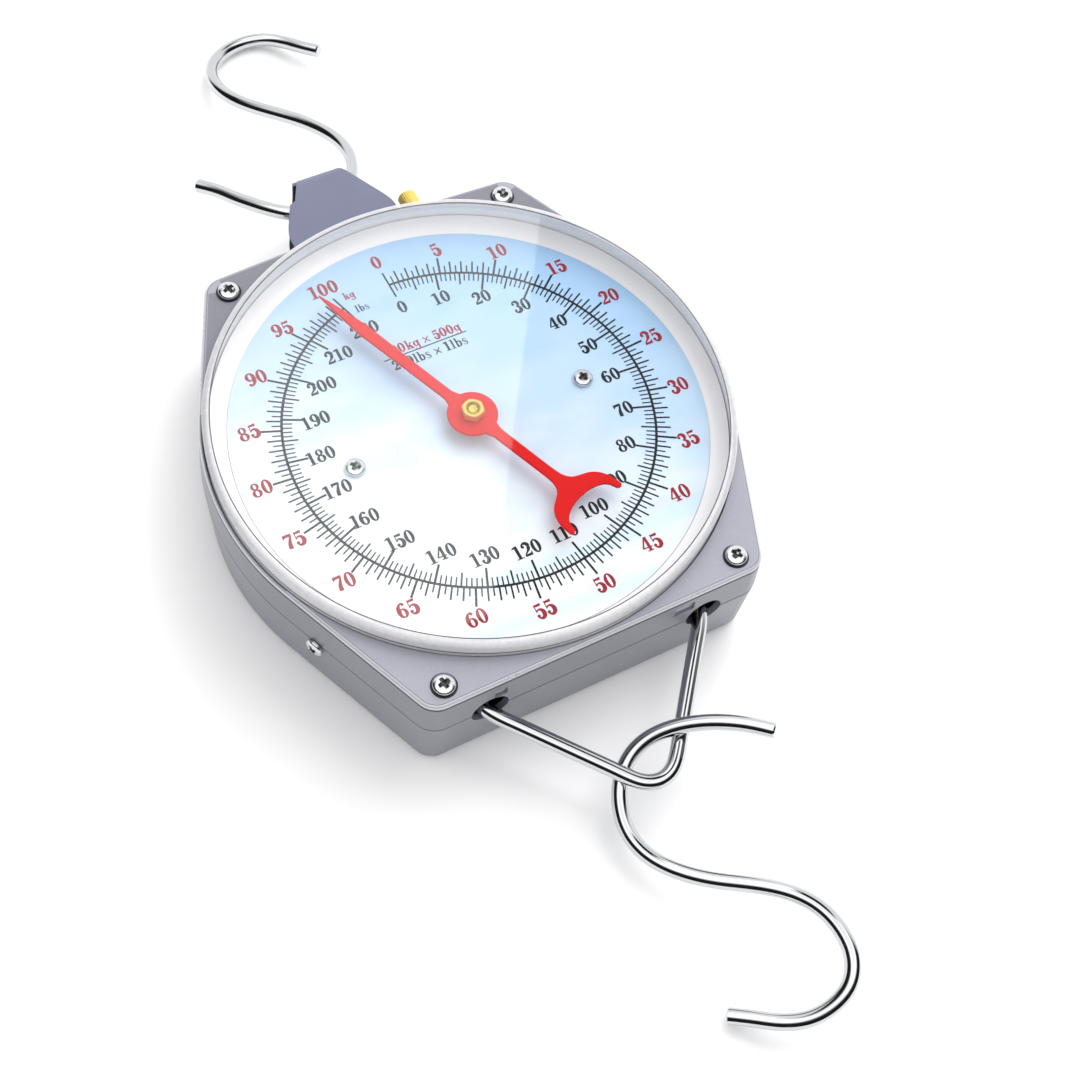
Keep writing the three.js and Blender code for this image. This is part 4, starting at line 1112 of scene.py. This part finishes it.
# ---------------------------------------------------------------- bail and hooks
half = [[36.5, -56], [40, -56], [43.4, -56.3], [45.9, -58.0], [47.0, -61], [47.2, -66], [47.2, -74], [47.2, -84], [47.2, -92], [46.9, -97.5], [45.3, -102.5],
        [42.4, -107.2], [37, -113.9], [29.6, -123], [21, -133.6], [14.5, -141.6], [10.5, -146.6], [6.6, -150.6], [2.2, -152.7]]
pts = [[-x, y] for x, y in half] + half[::-1]
bail_line = smooth_line(centripetal([(x, y, 30 + 0.09 * (y + 56)) for x, y in pts]), 2.2)
place(tube("bail_bar", bail_line, 3.0, 36), "chrome", "bail", "chrome_bar", "bail")
low = [[40.3, -160.1], [34.1, -153.4], [27.2, -147.5], [19.7, -142.6], [11.7, -139.1], [3.3, -137.6], [-4.9, -139.4], [-11.5, -145.0], [-15.7, -152.9], [-17.4, -162.1], [-15.8, -171.4], [-11.6, -179.7], [-5.9, -187.0], [0.6, -193.4], [7.6, -199.2], [14.4, -205.2], [20.5, -212.1], [24.9, -220.3], [26.8, -229.6], [25.9, -238.9], [21.1, -246.3], [13.3, -249.4], [4.9, -249.0], [-3.0, -245.2], [-10.1, -239.5], [-17.1, -234.0]]
low_line = smooth_line(centripetal([(x, y, 3.35 + 0.5 * (x + 17.4) + 0.1 * (y + 234)) for x, y in low]), 4.0)
place(tube("lower_s_hook", low_line, 3.0, 36), "chrome", "lower_hook", "chrome_bar", "lower_hook")
up = [[41.3, 231.2], [35.3, 238.5], [29.6, 246.1], [22.4, 252.2], [13.2, 254.1], [3.9, 251.9], [-4.0, 246.6], [-8.8, 238.6], [-10.1, 229.4], [-8.6, 220.2], [-4.8, 211.6], [0.4, 203.7], [6.1, 196.2], [11.7, 188.5], [16.4, 180.3], [19.9, 171.6], [21.6, 162.4], [20.8, 153.1], [17.5, 144.3], [12.0, 136.7], [4.2, 131.3], [-5.2, 129.6], [-15.1, 130.9], [-22.4, 137.2], [-28.6, 145.2], [-33.7, 152.8], [-38.2, 160.4], [-43.9, 167.4]]
up_line = smooth_line(centripetal([(x, y, 3.04 + 0.22 * (256 - y)) for x, y in up]), 4.0)
place(tube("upper_s_hook", up_line, 3.0, 36), "chrome", "upper_hook", "chrome_bar", "upper_hook")

# ---------------------------------------------------------------- hidden mechanism, made fine
def coil_line(x0, turns=22, r=6.0, y0=-42.2, y1=51.05):
    out = []
    n = turns * 28
    for i in range(n + 1):
        t = i / n
        a = t * turns * 2 * math.pi
        out.append((x0 + r * math.cos(a), y0 + (y1 - y0) * t, 30 + r * math.sin(a)))
    return out


for tag, s in (("right", 1), ("left", -1)):
    place(tube("coil_" + tag, coil_line(s * 30), 1.25, 12, chamfer=0.25), "spring", "case", "spring_steel", "spring_" + tag)


def turned_part(name, node, prof, at, body, material, slot, rot=None, soft=0.15, n=64):
    mtx = Matrix.Translation(Vector(at) * MM)
    if rot is not None:
        mtx = mtx @ rot
    closed = not (prof[0][0] == 0 and prof[-1][0] == 0)
    p = fillet(prof, [0 if q[0] == 0 else soft for q in prof], closed=closed, seg=2)
    place(weighted(lathe(name, p, n, matrix=mtx)), material, body, slot, node)


RX = lambda a: Matrix.Rotation(a, 4, "X")
for i, (x, y) in enumerate([(46, 40), (-46, 40), (46, -36), (-46, -36)]):
    turned_part(f"pillar_{i + 1}", f"frame_pillar_{i + 1}", [(0, 12.8), (3.2, 12.8), (3.2, 37.9), (0, 37.9)], (x, y, 0), "case", "steel", "frame_steel")
for i, (x, y) in enumerate([(32, 72), (-32, 72), (38, -40), (-38, -40)]):
    turned_part(f"plate_screw_{i + 1}", f"frame_screw_{i + 1}", [(0, 4.8), (1.6, 4.8), (1.6, 12.8), (3.3, 12.8), (3.3, 14.2), (2.2, 15.0), (0, 15.2)], (x, y, 0), "case", "zinc", "zinc_screw")
turned_part("rear_bearing", "rear_bush", [(2.3, 8.8), (4.2, 8.8), (4.2, 12.8), (6, 12.8), (6, 14), (2.3, 14)], (0, 0, 0), "case", "brass", "brass")
turned_part("front_bearing", "front_bush", [(2.3, 36.6), (6, 36.6), (6, 37.9), (4.2, 37.9), (4.2, 41), (2.3, 41)], (0, 0, 0), "case", "brass", "brass")
for tag, s in (("right", 1), ("left", -1)):
    turned_part("dial_spacer_" + tag, "dial_post_" + tag, [(1.9, 40.1), (3.6, 40.1), (3.6, 41.9), (1.9, 41.9)], (s * 49.07, 0, 0), "case", "steel", "frame_steel")
    turned_part("strap_bolt_" + tag, "hanger_bolt_" + tag, [(0, 6.2), (2.5, 6.2), (2.5, 35.6), (4.6, 35.6), (4.6, 38.2), (0, 38.2)], (s * 14, 90, 0), "case", "zinc", "zinc_screw")
    turned_part("strap_spacer_" + tag, "hanger_spacer_" + tag, [(3.0, 12.8), (4.8, 12.8), (4.8, 23.4), (3.0, 23.4)], (s * 14, 90, 0), "case", "steel", "frame_steel")
    turned_part("spring_anchor_lower_" + tag, "spring_plug_lower_" + tag, [(0, -7), (1.5, -7), (1.5, 0), (6.4, 0), (6.4, 6.5), (3.6, 6.9), (3.6, 15.5), (2.9, 16.4), (0, 16.4)], (s * 30, -50.7, 30), "load_yoke", "steel", "frame_steel", RX(-math.pi / 2))
    turned_part("spring_anchor_upper_" + tag, "spring_plug_upper_" + tag, [(0, -5), (1.5, -5), (1.5, 0), (6.4, 0), (6.4, 6.5), (3.6, 6.9), (3.6, 15.5), (2.9, 16.4), (0, 16.4)], (s * 30, 59.7, 30), "spring_crossbar", "steel", "frame_steel", RX(math.pi / 2))
turned_part("rack_bolt", "rack_screw", [(0, 0), (1.4, 0), (1.4, 20.3), (3.0, 20.3), (3.0, 21.5), (0, 21.7)], (9.8, -41, 30.2), "load_yoke", "zinc", "zinc_screw", RX(math.pi / 2))

# CAD pieces that stay as they are get their finishes
FINISH = {"frame_rear": "steel", "frame_front": "steel", "rack_guide": "nylon", "pinion": "brass", "load_yoke": "steel", "rack": "steel",
          "spring_crossbar": "steel", "hanger_block": "steel", "hanger_nut_left": "zinc", "hanger_nut_right": "zinc"}
for node, key in FINISH.items():
    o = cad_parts[node]
    o.data.materials.clear()
    o.data.materials.append(M[key])

# ---------------------------------------------------------------- stage, light
def floor_material():
    m, nt, b, co, _ = new_mat("pale_floor")
    n = noise(nt, co, 8, 3.0, 0.5)
    nt.links.new(ramp(nt, n, [(0.3, (0.90, 0.90, 0.905, 1)), (0.7, (0.94, 0.94, 0.94, 1))]), b.inputs["Base Color"])
    b.inputs["Roughness"].default_value = 0.7
    b.inputs["Specular IOR Level"].default_value = 0.2
    return m


fv = [(-4000, -4000, 0), (4000, -4000, 0), (4000, 4000, 0), (-4000, 4000, 0)]
me = bpy.data.meshes.new("floor")
me.from_pydata([(x * MM, y * MM, -0.0002) for x, y, z in fv], [], [[0, 1, 2, 3]])
floor = link(bpy.data.objects.new("floor", me))
floor.data.materials.append(floor_material())


def card(name, corners, strength, color=(1, 1, 1, 1)):
    me = bpy.data.meshes.new(name)
    me.from_pydata([tuple(c) for c in corners], [], [list(range(len(corners)))])
    o = link(bpy.data.objects.new(name, me))
    m = bpy.data.materials.new(name)
    m.use_nodes = True
    nt = m.node_tree
    nt.nodes.clear()
    out = nt.nodes.new("ShaderNodeOutputMaterial")
    em = nt.nodes.new("ShaderNodeEmission")
    em.inputs["Color"].default_value = color
    em.inputs["Strength"].default_value = strength
    nt.links.new(em.outputs[0], out.inputs["Surface"])
    me.materials.append(m)
    o.visible_camera = False
    return o


# the soft box whose mirror image lies on the cover's left part
CAM = Vector((-0.19671, -0.31182, 0.60014))
ZL = 0.0556
MIR = Vector((CAM.x, CAM.y, 2 * ZL - CAM.z))


def over_lens(x, y, height):
    p = Vector((x, y, ZL))
    d = p - MIR
    return MIR + d * ((height - MIR.z) / d.z)


H = 1.0
card("soft_box", [over_lens(-0.150, -0.0815, H), over_lens(-0.035, -0.0815, H), over_lens(0.0945, 0.112, H), over_lens(-0.150, 0.112, H)], 1.7)

key_data = bpy.data.lights.new("key", "AREA")
key_data.shape, key_data.size, key_data.size_y = "RECTANGLE", 1.5, 1.5
key_data.energy = 22
key = link(bpy.data.objects.new("key", key_data))
key.location = (0.75, 0.55, 1.15)
key.rotation_mode = "QUATERNION"
key.rotation_quaternion = (Vector((0, 0, 0.02)) - key.location).to_track_quat("-Z", "Y")
key.visible_glossy = False

world = bpy.data.worlds.new("studio")
SCENE.world = world
world.use_nodes = True
nt = world.node_tree
nt.nodes.clear()
out = nt.nodes.new("ShaderNodeOutputWorld")
bg = nt.nodes.new("ShaderNodeBackground")
tc = nt.nodes.new("ShaderNodeTexCoord")
sep = nt.nodes.new("ShaderNodeSeparateXYZ")
nt.links.new(tc.outputs["Generated"], sep.inputs[0])
g = lambda v: (v, v, v, 1)


def toward(v):
    n = nt.nodes.new("ShaderNodeVectorMath")
    n.operation = "DOT_PRODUCT"
    nt.links.new(tc.outputs["Generated"], n.inputs[0])
    n.inputs[1].default_value = v
    return n.outputs["Value"]


high = ramp(nt, remap(nt, sep.outputs[2], 0.0, 1.0, 0.0, 1.0), [(0.0, g(0.30)), (0.04, g(0.03)), (0.08, g(0.010)), (0.66, g(0.015)), (0.75, g(0.60)), (0.83, g(1.9)), (1.0, g(1.4))])
far = remap(nt, toward((0.61, 0.79, 0.0)), 0.30, 0.55, 0.0, 1.0)
room = mix_rgb(nt, far, high, (1.15, 1.15, 1.15, 1))
patch = remap(nt, toward((0.305, 0.396, 0.866)), 0.940, 0.972, 0.0, 1.0)
room = mix_rgb(nt, patch, room, (0.025, 0.025, 0.027, 1))
lp = nt.nodes.new("ShaderNodeLightPath")
nt.links.new(mix_rgb(nt, lp.outputs["Is Glossy Ray"], (1.04, 1.04, 1.04, 1), room), bg.inputs["Color"])
bg.inputs["Strength"].default_value = 1.0
nt.links.new(bg.outputs[0], out.inputs["Surface"])
SCENE.view_settings.view_transform = "Standard"
